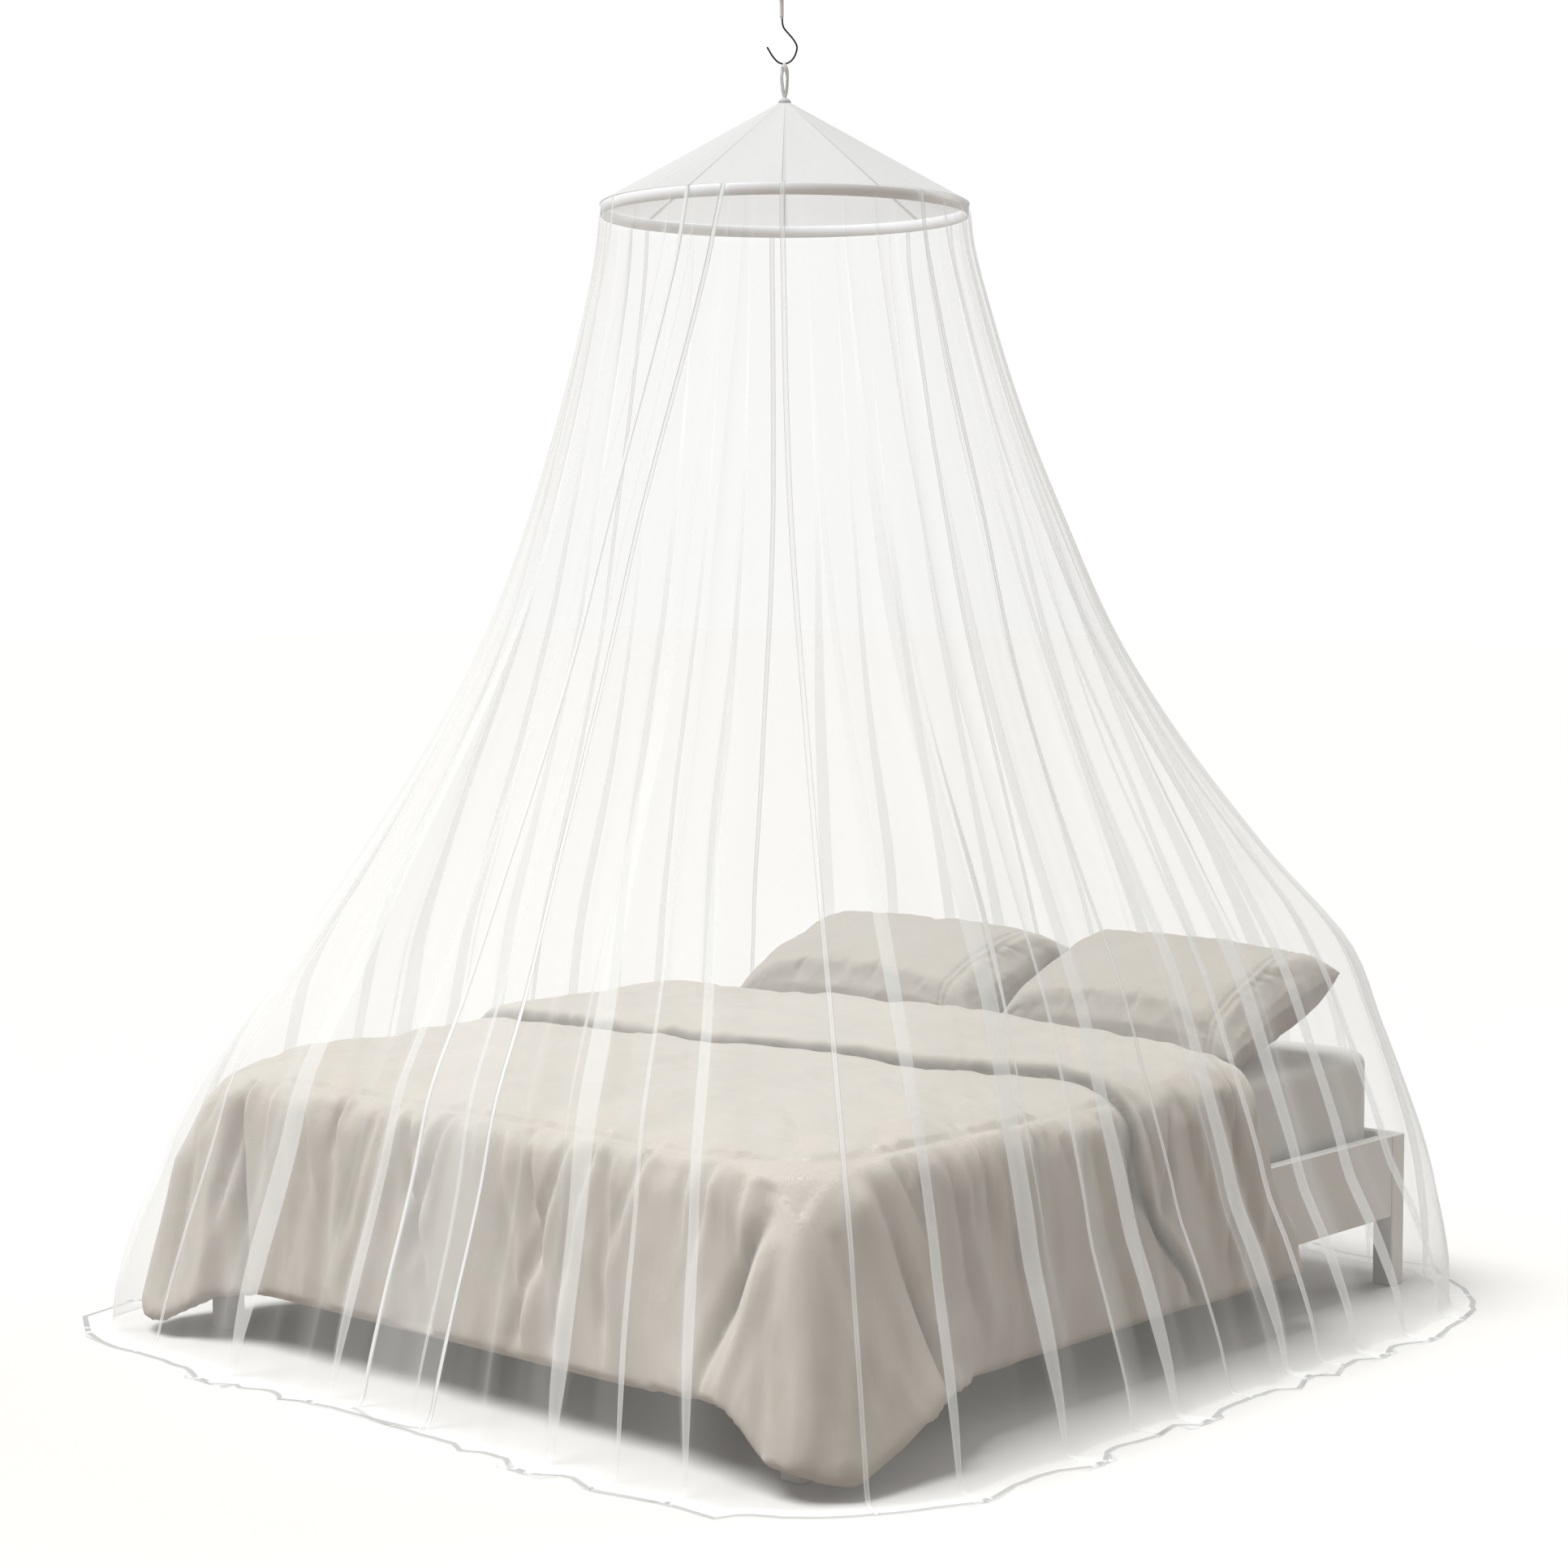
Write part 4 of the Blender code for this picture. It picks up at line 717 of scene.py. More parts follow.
# ---------------------------------------------------------------- operators: net
class NETBED_OT_tapes(bpy.types.Operator):
    """Sews the seam tapes and edge bindings on"""
    bl_idname = "netbed.tapes"
    bl_label = "Tapes and bindings"

    def execute(self, context):
        settings = context.scene.netbed_net
        tape_cloth = net_material("seam tape", settings.colour, settings.tape_cover * 0.55,
                                  stitched=0.45, line=0.75)
        half = settings.tape_width / 2
        for name, seam, _ in TAPES:
            columns = []
            for across in (-1.0, -0.72, 0.0, 0.72, 1.0):
                station = Station(0.0, skirt=SKIRT_REACH - HEM_WIDTH * 0.2, quiet=0.0, sideways=across * half)
                columns.append([p + HEM_RISE * 1.6 * self.outwards(p, i)
                                for i, p in enumerate(station_points(station, seam, seam)[:-2])])
            # Full stitch at the tape's edges: there the net material paints shade along the sewn lines.
            bm = lay_grid(columns, stitch=lambda c, r: (1.0, 0.6, 0.0, 0.6, 1.0)[c])
            finish_piece(name + "_cloth", bm, tape_cloth, replaces=(name,))
        binding_cloth = net_material("edge binding", settings.colour, settings.tape_cover,
                                     stitched=0.5, line=0.85)
        self.bind("edge_binding_over", "left", "opening_edge", 1.0, -1, 1.0, binding_cloth, settings)
        self.bind("edge_binding_under", "under_edge", "front", 0.0, 1, 0.0, binding_cloth, settings)
        return {"FINISHED"}

    @staticmethod
    def outwards(point, row):
        _, over_floor, layer = ROWS[row]
        if over_floor or layer:
            return UP
        out = point - BED_MIDDLE - HOOP_OFFSET * min(point.z / HOOP_TOP, 1.0)
        return Vector((out.x, out.y, 0)).normalized()

    @staticmethod
    def bind(name, start, end, share, inward, lap, cloth, settings):
        """Strip folded round a free edge: across it inside, round the edge and back across it outside."""
        width = settings.binding_width
        columns = []
        for across, depth in ((1.0, -0.0009), (0.15, -0.0010), (-0.06, -0.0006), (-0.10, 0.0),
                              (-0.06, 0.0006), (0.15, 0.0010), (1.0, 0.0009)):
            skirt = OVER_SKIRT if lap else UNDER_SKIRT
            station = Station(share, lap=lap, skirt=skirt, quiet=0.0, sideways=inward * across * width)
            points = station_points(station, start, end)[:-HEM_LAYER_ROWS - 1]
            columns.append([p + NETBED_OT_tapes.outwards(p, i) * depth + UP * 0.0006 * (ROWS[i][1] > 0)
                            for i, p in enumerate(points)])
        # Stitch near full at the binding's edges and fold: there the net material paints shade along the sewn
        # lines.
        bm = lay_grid(columns, stitch=lambda c, r: (0.9, 0.1, 0.5, 1.0, 0.5, 0.1, 0.9)[c])
        finish_piece(name + "_cloth", bm, cloth, replaces=(name,))


class NETBED_OT_walls(bpy.types.Operator):
    """Hangs the eight wall panels from the hoop to the floor"""
    bl_idname = "netbed.walls"
    bl_label = "Wall panels"

    def execute(self, context):
        settings = context.scene.netbed_net
        cloth = net_material("net cloth", settings.colour, settings.cover, stitched=0.16)
        for name, start, end in PANELS:
            stations = panel_stations(name, start, end)
            columns = [station_points(station, start, end) for station in stations]
            bm = lay_grid(columns, stitch=lambda c, r, line=stations: line[c].bunched(r))
            piece = finish_piece(name + "_cloth", bm, cloth, replaces=(name,))
            trims = [tape + "_cloth" for tape, _, panel in TAPES if panel == name]
            trims += {"net_panel_foot_left": ["edge_binding_over_cloth"],
                      "net_panel_foot": ["edge_binding_under_cloth"]}.get(name, [])
        return {"FINISHED"}


def roof_place(angle, share, sag):
    """Point of the roof, from the hoop (share 1) up to the crown (share 0)."""
    edge_z, edge_r = HOOP_TOP + 0.0014, HOOP_RADIUS + 0.0024
    radius = edge_r * share
    z = APEX_Z + (edge_z - APEX_Z) * share - sag * sin(pi * min(share, 1.0))
    return HOOP_MIDDLE + Vector((radius * cos(angle), radius * sin(angle), z))


class NETBED_OT_roof(bpy.types.Operator):
    """Stretches the roof gores from the crown to the hoop"""
    bl_idname = "netbed.roof"
    bl_label = "Roof gores"

    def execute(self, context):
        settings = context.scene.netbed_net
        # The roof is drawn darker than the wall: painted shade.
        cloth = net_material("roof net", [c * ROOF_SHADE for c in settings.colour],
                             settings.cover * ROOF_COVER, stitched=0.30)
        for i, name in enumerate(ROOF_NAMES):
            first = ROOF_SEAMS[i]
            last = ROOF_SEAMS[(i + 1) % len(ROOF_SEAMS)]
            last += 360.0 if last < first else 0.0
            steps = max(int((last - first) / 2.0), 12)
            shares = sorted({0.0, 0.012, 0.03, 0.97, 0.988, 1.0, *(k / steps for k in range(1, steps))})
            columns, stitch = [], []
            for share in shares:
                angle = radians(first + (last - first) * share)
                sag = 0.006 * sin(pi * share)
                crease = 0.0012 * sin(share * 41.0 + i * 2.0) * sin(pi * share)
                columns.append([roof_place(angle, 0.014 + 0.986 * k / 24, sag + crease * k / 24)
                                for k in range(24, -1, -1)])
                # Full stitch on the gore seams: there the net material paints shade along the sewn lines.
                stitch.append(1.0 if share in (0.0, 1.0) else (0.55 if share in (0.012, 0.988) else 0.0))
            node = "roof_gore_" + name
            bm = lay_grid(columns, stitch=lambda c, r, stitch=stitch: stitch[c])
            piece = finish_piece(node + "_cloth", bm, cloth, replaces=(node,))
        return {"FINISHED"}


class NETBED_OT_hoop(bpy.types.Operator):
    """Turns the flat hoop band and the crown patch"""
    bl_idname = "netbed.hoop"
    bl_label = "Hoop and crown"

    def execute(self, context):
        white = paint_material("hoop white", (0.91, 0.94, 0.98), (0.88, 0.91, 0.95), 0.34)
        outer, inner = HOOP_RADIUS, HOOP_RADIUS - 0.0025
        bottom, edge = HOOP_LOW.z, 0.0007
        section = ((outer, bottom + edge), (outer, HOOP_TOP - edge), (outer - edge, HOOP_TOP),
                   (inner + edge, HOOP_TOP), (inner, HOOP_TOP - edge), (inner, bottom + edge),
                   (inner + edge, bottom), (outer - edge, bottom))
        finish_piece("hoop_band", self.turned(section + section[:1], 160), white,
                     replaces=("hoop",))
        # The crown cloth's grey colour is painted shade.
        cloth = linen_material("crown cloth", (0.52, 0.53, 0.55), (0.45, 0.46, 0.48), 0.0007, 0.02)
        section = ((0.0, CROWN_TOP), (0.004, CROWN_TOP - 0.0003), (0.010, CROWN_TOP - 0.0040),
                   (0.0136, CROWN_TOP - 0.0092), (0.0140, CROWN_TOP - 0.0104), (0.0128, CROWN_TOP - 0.0108),
                   (0.008, CROWN_TOP - 0.0078), (0.0, CROWN_TOP - 0.0034))
        finish_piece("crown_patch_cloth", self.turned(section, 32), cloth,
                     replaces=("crown_patch",))
        return {"FINISHED"}

    @staticmethod
    def turned(section, steps):
        """Section of (radius, height) turned about the hoop's upright line."""
        columns = []
        for k in range(steps + 1):
            turn = 2 * pi * k / steps
            columns.append([HOOP_MIDDLE + Vector((r * cos(turn), r * sin(turn), z)) for r, z in section])
        bm = lay_grid(columns, closed=True)
        bmesh.ops.recalc_face_normals(bm, faces=bm.faces)
        return bm


def hook_point(sideways, down):
    return HOOP_MIDDLE + HOOK_SIDE * sideways + UP * (HOOK_TOP - down)


def hook_route(count):
    knots = list(range(len(HOOK_PATH)))
    return [hook_point(*(curve_at(knots, [row[i] for row in HOOK_PATH], k * knots[-1] / (count - 1))
                         for i in (0, 1))) for k in range(count)]


def swept(route, radius_at, sides=12):
    """Round solid along a route, its radius given at each share of the way, with closed ends."""
    columns = []
    last = len(route) - 1
    for k, place in enumerate(route):
        tangent = (route[min(k + 1, last)] - route[max(k - 1, 0)]).normalized()
        across = tangent.cross(HOOK_FRONT).normalized()
        front = across.cross(tangent).normalized()
        radius = radius_at(k / last)
        columns.append([place + (across * cos(2 * pi * s / sides) + front * sin(2 * pi * s / sides)) * radius
                        for s in range(sides + 1)])
    bm = lay_grid(columns, closed=True)
    bmesh.ops.holes_fill(bm, edges=[e for e in bm.edges if e.is_boundary], sides=sides + 1)
    bmesh.ops.recalc_face_normals(bm, faces=bm.faces)
    return bm


class NETBED_OT_hanger(bpy.types.Operator):
    """Bends the hook, gathers the hanging loop and hangs both on the cord"""
    bl_idname = "netbed.hanger"
    bl_label = "Hook, loop and cord"

    def execute(self, context):
        black = paint_material("black wire", (0.012, 0.012, 0.013), (0.008, 0.008, 0.009), 0.5)
        black.node_tree.nodes["Principled BSDF"].inputs["Specular IOR Level"].default_value = 0.15
        wire = swept(hook_route(90), lambda t: WIRE_RADIUS * sqrt(min(1.0, min(t, 1 - t) / 0.012 + 0.2)))
        finish_piece("hook_wire", wire, black, replaces=("hook",))
        white = linen_material("loop cloth", (0.86, 0.88, 0.90), (0.76, 0.78, 0.80), 0.0007, 0.02)
        finish_piece("hanging_loop_cloth", self.loop(), white, replaces=("hanging_loop",))
        self.cord()
        return {"FINISHED"}

    @staticmethod
    def loop():
        """Gathered cloth doubled into a long loop over the wire and drawn together at the crown."""
        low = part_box("hanging_loop")[0].z
        lowest = max(HOOK_PATH, key=lambda row: row[1])
        top = HOOK_TOP - lowest[1] + 0.0015 + 0.0030
        steps, sides = 72, 28
        columns = []
        for i in range(steps):
            turn = 2 * pi * i / steps
            height = (1 - cos(turn)) / 2
            twist = radians(90.0 - 78.0 * ease((1 - height) / 0.45))
            wide = HOOK_SIDE * cos(twist) + HOOK_FRONT * sin(twist)
            half = 0.0078 * sin(turn) * (0.55 + 0.45 * sin(turn / 2)**2)
            place = HOOP_MIDDLE + HOOK_SIDE * lowest[0] * height + wide * half
            place.z = low + 0.0016 + (top - low - 0.0016) * height
            tangent = (wide * cos(turn) * 0.008 + UP * sin(turn) * 0.036).normalized()
            across = Vector((wide.y, -wide.x, 0))
            outward = tangent.cross(across).normalized()
            spread = 0.0050 - 0.0022 * bump(height - 1.0, 0.16) - 0.0026 * bump(height, 0.16)
            thick = 0.0032 - 0.0016 * bump(height - 1.0, 0.16)
            ring = []
            for s in range(sides + 1):
                a = 2 * pi * s / sides
                fluted = 1.0 + 0.22 * sin(a * 7 + 1.5 * sin(turn)) + 0.08 * sin(a * 4 + i * 0.15)
                ring.append(place + across * cos(a) * spread * fluted + outward * sin(a) * thick * fluted)
            columns.append(ring)
        columns.append(columns[0])
        bm = lay_grid(columns, closed=True)
        bmesh.ops.recalc_face_normals(bm, faces=bm.faces)
        return bm

    @staticmethod
    def cord():
        """Flat-laid white cord from the hook up to the fitting on the ceiling."""
        low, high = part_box("ceiling_cord")
        x, y = middle_of("ceiling_cord").xy
        route = [Vector((x, y, low.z + (high.z - low.z) * k / 24)) for k in range(25)]
        white = linen_material("cord braid", (0.93, 0.95, 0.97), (0.84, 0.86, 0.88), 0.0016, 0.03)
        bm = swept(route, lambda t: CORD_RADIUS, sides=24)
        piece = finish_piece("ceiling_cord_braid", bm, white, replaces=("ceiling_cord",))


# ---------------------------------------------------------------- operators: bed
class NETBED_OT_bed_frame(bpy.types.Operator):
    """Paints the legs, rails, board and ceiling fitting"""
    bl_idname = "netbed.bed_frame"
    bl_label = "Bed frame"

    def execute(self, context):
        white = paint_material("bed white", (0.70, 0.69, 0.67), (0.64, 0.63, 0.61), 0.42)
        board = paint_material("bed board", (0.66, 0.60, 0.52), (0.55, 0.49, 0.42), 0.62, peel=0.12)
        fitting = paint_material("fitting white", (0.86, 0.86, 0.86), (0.80, 0.80, 0.80), 0.35)
        for name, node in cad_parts.items():
            if name.startswith(("leg_", "rail_")):
                self.paint(node, white)
        self.paint(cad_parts["bed_base"], board)
        self.paint(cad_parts["ceiling_fitting"], fitting)
        return {"FINISHED"}

    @staticmethod
    def paint(node, material):
        node.data.materials.clear()
        node.data.materials.append(material)


def with_modifiers(piece):
    return bpy.data.meshes.new_from_object(piece.evaluated_get(bpy.context.evaluated_depsgraph_get()))


def soft_copy(node, voxel, shrink=0.0):
    """Copy of a frame solid as an even mesh, drawn in by shrink metres along its normals."""
    bm = bmesh.new()
    bm.from_mesh(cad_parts[node].data)
    bmesh.ops.remove_doubles(bm, verts=bm.verts, dist=0.00001)
    piece = object_from(bm, node + "_even")
    even = piece.modifiers.new("even", "REMESH")
    even.mode = "VOXEL"
    even.voxel_size = voxel
    made = with_modifiers(piece)
    piece.modifiers.clear()
    piece.data = made
    if shrink:
        normals = [v.normal.copy() for v in made.vertices]
        for vert, normal in zip(made.vertices, normals):
            vert.co -= normal * shrink
    return piece


def into_bmesh(piece):
    bm = bmesh.new()
    bm.from_mesh(piece.data)
    bpy.data.objects.remove(piece)
    return bm


def relax(bm, rounds, factor=0.5):
    for _ in range(rounds):
        bmesh.ops.smooth_vert(bm, verts=bm.verts, factor=factor, use_axis_x=True, use_axis_y=True,
                              use_axis_z=True)


def push_out(bm, depth_at):
    """Moves each point along its normal by depth_at(point, normal)."""
    bm.normal_update()
    moves = [(vert, vert.normal * depth_at(vert.co, vert.normal)) for vert in bm.verts]
    for vert, move in moves:
        vert.co += move


def from_line(place, start, end):
    """Distance from a point to a line between two points, and the share of the way along it."""
    run = end - start
    share = min(max((place - start).dot(run) / run.length_squared, 0.0), 1.0)
    return (place - start - run * share).length, share


def crumple(place, scale, stretch, seed):
    """Soft uneven creases, from -1 to 1: a ridged noise on a stretched and bent place."""
    bend = noise.noise(place * 1.7 + Vector((seed, 0, 0)))
    spot = Vector((place.x * stretch[0], place.y * stretch[1], place.z * stretch[2])) * scale
    return 1 - 2.6 * abs(noise.noise(spot + Vector((bend, seed, bend * 0.7))))


def past_turnback(place):
    """Distance from the turned-back part's loose edge, towards the head of the bed."""
    side = -0.09 + 0.26 * ease((0.45 - place.z) / 0.40) - (0.16 if place.x < 0 else 0.0)
    middle = 1 - min(abs(place.x) / 0.72, 1.0)
    return place.y - side * (1 - middle) + 0.28 * middle


def hanging_creases():
    """Creases of the hanging sides, as (side, place along it, lean, top, bottom, width, depth)."""
    rng = random.Random(11)
    made = []
    rows = (("foot", -0.84, 0.78, 27), ("near", -0.82, 0.50, 22), ("far", -0.86, 0.45, 18))
    for side, first, last, count in rows:
        for k in range(count):
            place = first + (last - first) * (k + rng.uniform(-0.4, 0.4)) / (count - 1)
            top = rng.uniform(0.50, 0.60)
            long = rng.random() < 0.35
            drop = rng.uniform(0.28, 0.46) if long else rng.uniform(0.10, 0.24)
            made.append((side, place, rng.uniform(-0.35, 0.35) + (0.10 if side == "near" else -0.05), top,
                         top - drop, rng.uniform(0.013, 0.030) if long else rng.uniform(0.010, 0.018),
                         rng.uniform(0.006, 0.013) if long else rng.uniform(0.004, 0.009)))
    return made


# Creases round the hanging corners, as (start, end, width, depth); a ridge is negative.
CORNER_CREASES = (
    ((0.815, -1.09, 0.540), (0.665, -1.12, 0.13), 0.016, 0.020),
    ((0.850, -1.09, 0.520), (0.735, -1.15, 0.13), 0.020, -0.010),
    ((0.900, -0.89, 0.540), (0.985, -0.76, 0.11), 0.016, 0.020),
    ((0.905, -0.94, 0.520), (1.000, -0.84, 0.12), 0.020, -0.010),
    ((0.880, -1.05, 0.500), (0.930, -1.11, 0.06), 0.030, -0.010),
    ((0.900, -1.00, 0.440), (0.985, -0.96, 0.07), 0.018, 0.008),
    ((0.820, -1.10, 0.420), (0.850, -1.14, 0.08), 0.014, 0.007),
    ((-0.690, -1.09, 0.545), (-0.665, -1.10, 0.13), 0.018, 0.022),
    ((-0.740, -1.10, 0.520), (-0.760, -1.13, 0.12), 0.024, -0.012),
    ((-0.860, -1.07, 0.500), (-0.930, -1.16, 0.07), 0.026, -0.010),
    ((-0.820, -1.09, 0.480), (-0.850, -1.16, 0.09), 0.014, 0.008),
    ((-0.900, -0.86, 0.520), (-0.960, -0.82, 0.10), 0.020, 0.014),
)
# Long soft creases on the flat top, from the corners inwards and along the turned-back part.
TOP_CREASES = (
    ((0.80, -0.99, 0.585), (0.55, -0.72, 0.605), 0.020, 0.006),
    ((0.86, -0.86, 0.575), (0.66, -0.55, 0.600), 0.018, 0.006),
    ((0.86, -0.60, 0.575), (0.60, -0.34, 0.602), 0.016, 0.005),
    ((0.87, -0.38, 0.570), (0.58, -0.20, 0.602), 0.014, 0.005),
    ((0.62, -1.03, 0.575), (0.40, -0.80, 0.604), 0.018, 0.005),
    ((0.30, -1.04, 0.575), (0.20, -0.76, 0.605), 0.020, 0.004),
    ((-0.10, -1.04, 0.575), (-0.16, -0.74, 0.605), 0.018, 0.004),
    ((-0.52, -1.03, 0.575), (-0.40, -0.74, 0.604), 0.018, 0.005),
    ((-0.80, -0.98, 0.580), (-0.58, -0.70, 0.602), 0.020, 0.006),
    ((0.10, -0.36, 0.612), (0.62, -0.15, 0.606), 0.016, 0.004),
    ((-0.62, -0.30, 0.606), (-0.10, -0.24, 0.614), 0.018, 0.004),
    ((0.84, 0.02, 0.610), (0.50, 0.14, 0.632), 0.014, 0.005),
    ((0.20, 0.06, 0.640), (0.52, 0.10, 0.636), 0.012, 0.004),
    ((-0.50, 0.04, 0.636), (-0.12, 0.12, 0.642), 0.013, 0.004),
)
HANGING_DEEPER, LINE_DEEPER = 1.6, 1.4              # how much deeper the creases are than their tables say
# Each hanging side: along it, and out of it
SIDE_AXIS = {"foot": (Vector((1, 0, 0)), Vector((0, -1, 0))), "near": (Vector((0, 1, 0)), Vector((1, 0, 0))),
             "far": (Vector((0, 1, 0)), Vector((-1, 0, 0)))}


def fold_profile(t):
    """Trough with a softer ridge along one side of it."""
    return 0.55 * exp(-(t - 1.9)**2 * 0.6) - exp(-t * t)


def hanging_push(spot, normal, creases):
    total = 0.0
    for side, place, lean, top, bottom, width, depth in creases:
        along, out = SIDE_AXIS[side]
        facing = normal.dot(out)
        if facing < 0.15 or not bottom - 0.05 < spot.z < top + 0.06:
            continue
        t = (spot.dot(along) - place - lean * (top - spot.z)) / (width * (0.7 + 0.9 * (top - spot.z)))
        if abs(t) < 4:
            share = ease((top + 0.05 - spot.z) / 0.06) * ease((spot.z - bottom + 0.05) / 0.16)
            total += depth * HANGING_DEEPER * fold_profile(t) * share * ease((facing - 0.15) / 0.4)
    return total


class NETBED_OT_bedding(bpy.types.Operator):
    """Covers the mattress, creases the duvet and plumps the pillows"""
    bl_idname = "netbed.bedding"
    bl_label = "Mattress, duvet and pillows"

    def execute(self, context):
        settings = context.scene.netbed_bedding
        self.mattress()
        linen = linen_material("duvet linen", settings.linen_light, settings.linen_dark)
        self.duvet(settings, linen)
        pale = linen_material("pillow linen", [c * 0.72 for c in settings.linen_light],
                              [c * 0.74 for c in settings.linen_dark], crumple=0.45)
        for node, seed in (("pillow_near", 3), ("pillow_far", 5)):
            self.pillow(context, node, seed, settings, pale)
        return {"FINISHED"}

    @staticmethod
    def mattress():
        bm = into_bmesh(soft_copy("mattress", 0.016))
        relax(bm, 3)
        half_x, half_y = (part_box("mattress")[1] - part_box("mattress")[0]).xy / 2

        def pulled(place, normal):
            spot = place - BED_MIDDLE
            if abs(normal.z) > 0.75:
                return 0.0
            corner = bump(min(abs(abs(spot.x) - half_x), 0.3) + min(abs(abs(spot.y) - half_y), 0.3), 0.10)
            tucks = sin((spot.x + spot.y) * 130.0 + spot.z * 6.0) * 0.0012 * corner
            return tucks + 0.0015 * noise.noise(Vector((spot.x * 7, spot.y * 7, spot.z * 2)))

        push_out(bm, pulled)
        cotton = linen_material("fitted sheet", (0.63, 0.62, 0.60), (0.56, 0.55, 0.53), 0.0008, 0.18)
        piece = finish_piece("mattress_sheet", bm, cotton, replaces=("mattress",))

    @staticmethod
    def duvet(settings, linen):
        bm = into_bmesh(soft_copy("duvet", settings.duvet_voxel))
        relax(bm, 12)
        creases = hanging_creases()
        lines = [(Vector(a), Vector(b), width, depth) for a, b, width, depth in CORNER_CREASES + TOP_CREASES]

        def creased(place, normal):
            spot = place - BED_MIDDLE
            over_bed = abs(spot.x) < 0.86 and abs(spot.y) < 1.05
            if normal.z < -0.3 or (over_bed and spot.z < 0.57) or spot.z < 0.03:
                return 0.0
            push = hanging_push(spot, normal, creases)
            for start, end, width, depth in lines:
                if (spot - start).length > 0.7:
                    continue
                distance, share = from_line(spot, start, end)
                if distance < width * 2.6:
                    push -= depth * LINE_DEEPER * bump(distance, width) * sin(pi * (0.16 + 0.70 * share))
            on_top = ease((normal.z - 0.3) / 0.5)
            push += 0.0065 * crumple(spot, 3.1, (1.0, 1.3, 1.0), 1.0) * on_top
            push += 0.0080 * crumple(spot, 5.5, (1.6, 1.6, 0.35), 6.0) * (1 - on_top)
            push += 0.0042 * crumple(spot, 12.0, (1.0, 1.0, 0.32), 9.0)
            past = past_turnback(spot)
            push -= 0.015 * bump(past + 0.016, 0.010)
            push += 0.009 * bump(past - 0.012, 0.016)
            return push * ease((spot.z - 0.02) / 0.06)

        # Painted shade, kept in the crease attribute: under the turned-back part's loose edge and along the
        # deepest corner creases.
        crease_shade_layer = bm.verts.layers.float.new("crease")
        deep_lines = [line for line in lines if line[3] >= 0.02]
        for vert in bm.verts:
            spot = vert.co - BED_MIDDLE
            shade = bump(past_turnback(spot) + 0.013, 0.014) * ease((spot.z - 0.05) / 0.2)
            for start, end, width, _ in deep_lines:
                distance, share = from_line(spot, start, end)
                shade += 0.8 * bump(distance, width * 0.6) * sin(pi * (0.10 + 0.80 * share))
            vert[crease_shade_layer] = min(shade, 1.0)
        push_out(bm, creased)
        relax(bm, 1, 0.3)
        piece = finish_piece("duvet_cover", bm, linen, replaces=("duvet",))

    @staticmethod
    def pillow(context, node, seed, settings, linen):
        piece = soft_copy(node, settings.pillow_voxel, shrink=0.006)
        plump(context, piece, settings.pillow_frames, cap=0.016)
        bm = into_bmesh(piece)
        bmesh.ops.subdivide_edges(bm, edges=bm.edges, cuts=1, use_grid_fill=True, smooth=0.4)
        relax(bm, 2)
        low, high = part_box(node)
        middle, half = (low + high) / 2, (high - low) / 2

        def creased(place, normal):
            spot = place - middle
            corner = min(abs(spot.x) / half.x, 1.0) * min(abs(spot.y) / half.y + 0.35, 1.0)
            away = Vector((spot.x, spot.y * 1.6, spot.z))
            round_middle = Vector((away.x, away.y)).angle_signed(Vector((1, 0)), 0.0)
            spokes = sin(12.0 * round_middle + 5.0 * place.x + seed)
            end_seam = bump(spot.x - half.x * 0.74, 0.006) + bump(spot.x - half.x * 0.70, 0.004)
            return (0.0032 * spokes * ease((corner - 0.35) / 0.5) - 0.003 * end_seam
                    + 0.0040 * crumple(place, 5.0, (1.0, 1.0, 1.0), seed)
                    + 0.0016 * crumple(place, 14.0, (1.0, 1.0, 1.0), seed + 4))

        push_out(bm, creased)
        made = finish_piece(node + "_case", bm, linen, replaces=(node,))


def plump(context, piece, frames, cap):
    """Fills a closed cloth skin with pressure, no point moving further than cap, and keeps the result."""
    start = [v.co.copy() for v in piece.data.vertices]
    cloth = piece.modifiers.new("filling", "CLOTH")
    cloth.settings.use_pressure = True
    cloth.settings.uniform_pressure_force = 4.0
    cloth.settings.effector_weights.gravity = 0.0
    cloth.settings.tension_stiffness = 12.0
    cloth.settings.bending_stiffness = 0.4
    cloth.settings.quality = 4
    for step in range(1, frames + 1):
        context.scene.frame_set(step)
    settled = with_modifiers(piece)
    for vert, before in zip(settled.vertices, start):
        move = vert.co - before
        if move.length > cap:
            vert.co = before + move.normalized() * cap
    piece.modifiers.clear()
    piece.data = settled
    context.scene.frame_set(1)


# ---------------------------------------------------------------- operator: stage
CAMERA_PLACE = Vector((4.3641, -4.9973, 1.6226))    # from the bed's middle, on the floor
CAMERA_DOWN, CAMERA_TURN = 3.974, 41.932            # degrees
CAMERA_LENS = 69.37                                 # millimetres, on a sensor 36 mm wide
KEY_FROM, KEY_SPREAD = Vector((-0.30, -0.52, 1.28)), 34
FILL_FROM, FILL_SPREAD = Vector((0.30, 0.88, 0.36)), 30
FLOOR_SEEN = (0.68, 0.675, 0.665)
FLOOR_LIT = (0.28, 0.225, 0.175)                    # the colour that the floor has for all but the camera
SKY_SEEN, SKY_COLOUR = 1.02, (1.0, 0.95, 0.89, 1)


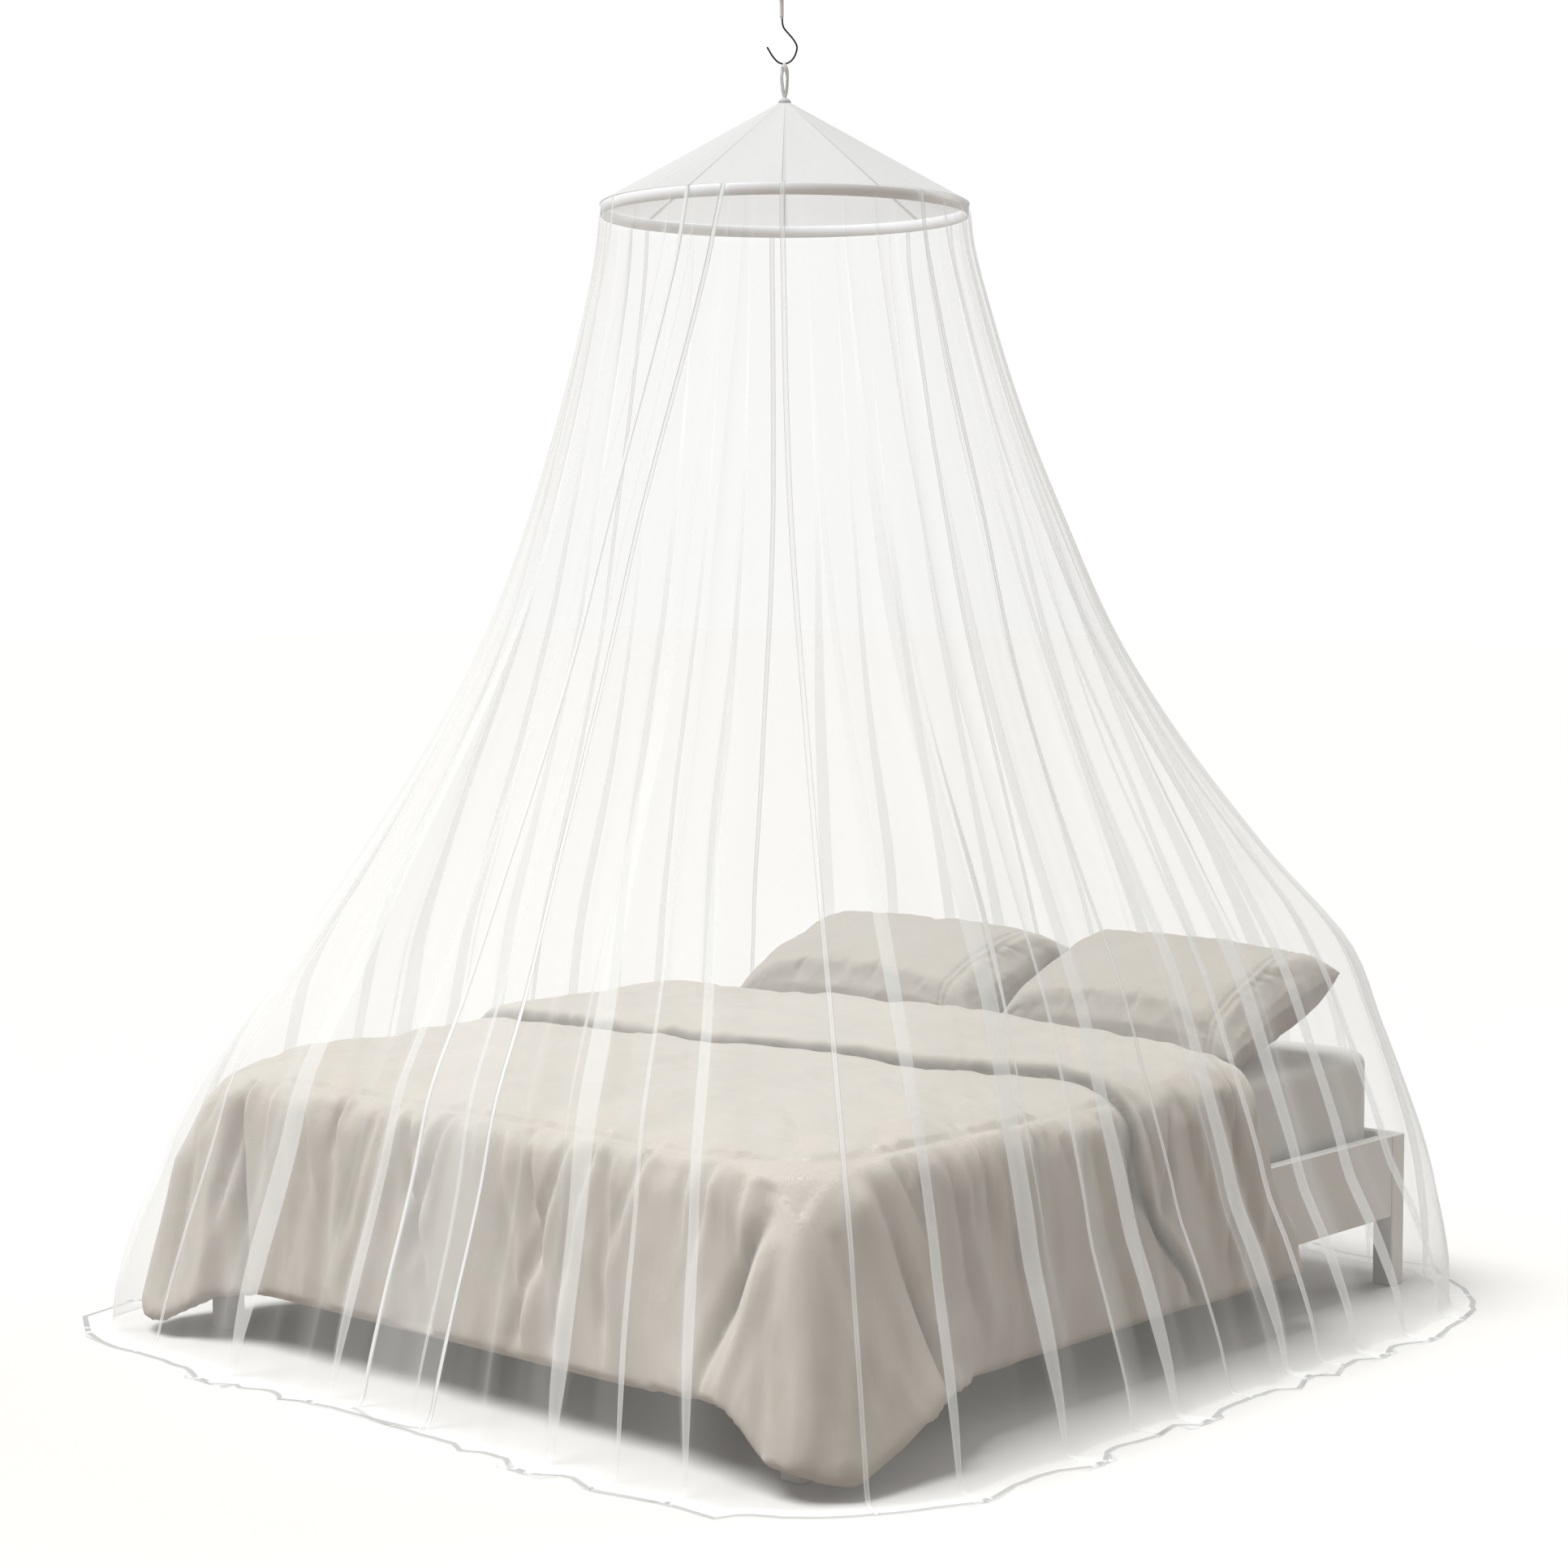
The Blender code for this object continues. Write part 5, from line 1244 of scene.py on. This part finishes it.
class NETBED_OT_stage(bpy.types.Operator):
    """Sets the floor, the soft light and the camera"""
    bl_idname = "netbed.stage"
    bl_label = "Stage"

    def execute(self, context):
        settings = context.scene.netbed_stage
        bm = bmesh.new()
        bmesh.ops.create_grid(bm, x_segments=8, y_segments=8, size=60.0)
        floor = object_from(bm, "floor")
        floor.location.z = -0.0005
        floor.data.materials.append(self.floor_white())
        self.light(context, settings)
        self.camera(context)
        return {"FINISHED"}

    @staticmethod
    def floor_white():
        """Pale floor that the camera sees whiter than the light it sends back."""
        made, tree, shader = new_material("floor white", {"Roughness": 0.9, "Specular IOR Level": 0.1})
        seen = add_node(tree, "LightPath").outputs["Is Camera Ray"]
        feed(tree, shader, {"Base Color": colour_mix(tree, seen, opaque(FLOOR_LIT), opaque(FLOOR_SEEN))})
        return made

    @staticmethod
    def light(context, settings):
        world = bpy.data.worlds.new("studio")
        world.use_nodes = True
        tree = world.node_tree
        seen = tree.nodes["Background"]
        feed(tree, seen, {"Strength": SKY_SEEN, "Color": (1, 1, 1, 1)})
        lit = add_node(tree, "Background", {"Strength": settings.sky, "Color": SKY_COLOUR})
        by_camera = add_node(tree, "LightPath").outputs["Is Camera Ray"]
        mixed = add_node(tree, "MixShader", {"Fac": by_camera, 1: lit.outputs[0], 2: seen.outputs[0]})
        feed(tree, tree.nodes["World Output"], {"Surface": mixed.outputs[0]})
        context.scene.world = world
        for name, energy, place, spread in (("key", settings.key, KEY_FROM, KEY_SPREAD),
                                            ("fill", settings.fill, FILL_FROM, FILL_SPREAD)):
            sun = bpy.data.lights.new(name, "SUN")
            sun.energy, sun.angle = energy, radians(spread)
            lamp = bpy.data.objects.new(name, sun)
            lamp.rotation_euler = place.to_track_quat("Z", "Y").to_euler()
            context.scene.collection.objects.link(lamp)
        context.scene.view_settings.view_transform = "Standard"
        context.scene.cycles.transparent_max_bounces = 40
        context.scene.cycles.max_bounces = 3

    @staticmethod
    def camera(context):
        data = bpy.data.cameras.new("camera")
        data.sensor_width = 36.0
        data.lens = CAMERA_LENS
        data.clip_end = 200.0
        made = bpy.data.objects.new("camera", data)
        made.location = BED_MIDDLE + CAMERA_PLACE
        made.rotation_euler = (radians(90.0 - CAMERA_DOWN), 0.0, radians(CAMERA_TURN))
        context.scene.collection.objects.link(made)
        context.scene.camera = made


# ---------------------------------------------------------------- panel and registration
STEPS = ("tapes", "walls", "roof", "hoop", "hanger", "bed_frame", "bedding", "stage")


class NETBED_PT_panel(bpy.types.Panel):
    """Sizes, colours and steps of the net canopy"""
    bl_label = "Net Canopy"
    bl_idname = "NETBED_PT_panel"
    bl_space_type = "VIEW_3D"
    bl_region_type = "UI"
    bl_category = "Net Canopy"

    def draw(self, context):
        for group in (context.scene.netbed_net, context.scene.netbed_bedding, context.scene.netbed_stage):
            column = self.layout.column(align=True)
            for name in group.bl_rna.properties.keys():
                if name not in ("rna_type", "name"):
                    column.prop(group, name)
        for step in STEPS:
            self.layout.operator("netbed." + step)


CLASSES = (
    NetSettings, BeddingSettings, StageSettings, NETBED_OT_tapes, NETBED_OT_walls, NETBED_OT_roof,
    NETBED_OT_hoop, NETBED_OT_hanger, NETBED_OT_bed_frame, NETBED_OT_bedding, NETBED_OT_stage,
    NETBED_PT_panel,
)


def register():
    for cls in CLASSES:
        bpy.utils.register_class(cls)
    bpy.types.Scene.netbed_net = PointerProperty(type=NetSettings)
    bpy.types.Scene.netbed_bedding = PointerProperty(type=BeddingSettings)
    bpy.types.Scene.netbed_stage = PointerProperty(type=StageSettings)


def unregister():
    del bpy.types.Scene.netbed_net
    del bpy.types.Scene.netbed_bedding
    del bpy.types.Scene.netbed_stage
    for cls in reversed(CLASSES):
        bpy.utils.unregister_class(cls)


def main():
    register()
    for step in STEPS:
        getattr(bpy.ops.netbed, step)()


if __name__ == "__main__":
    main()
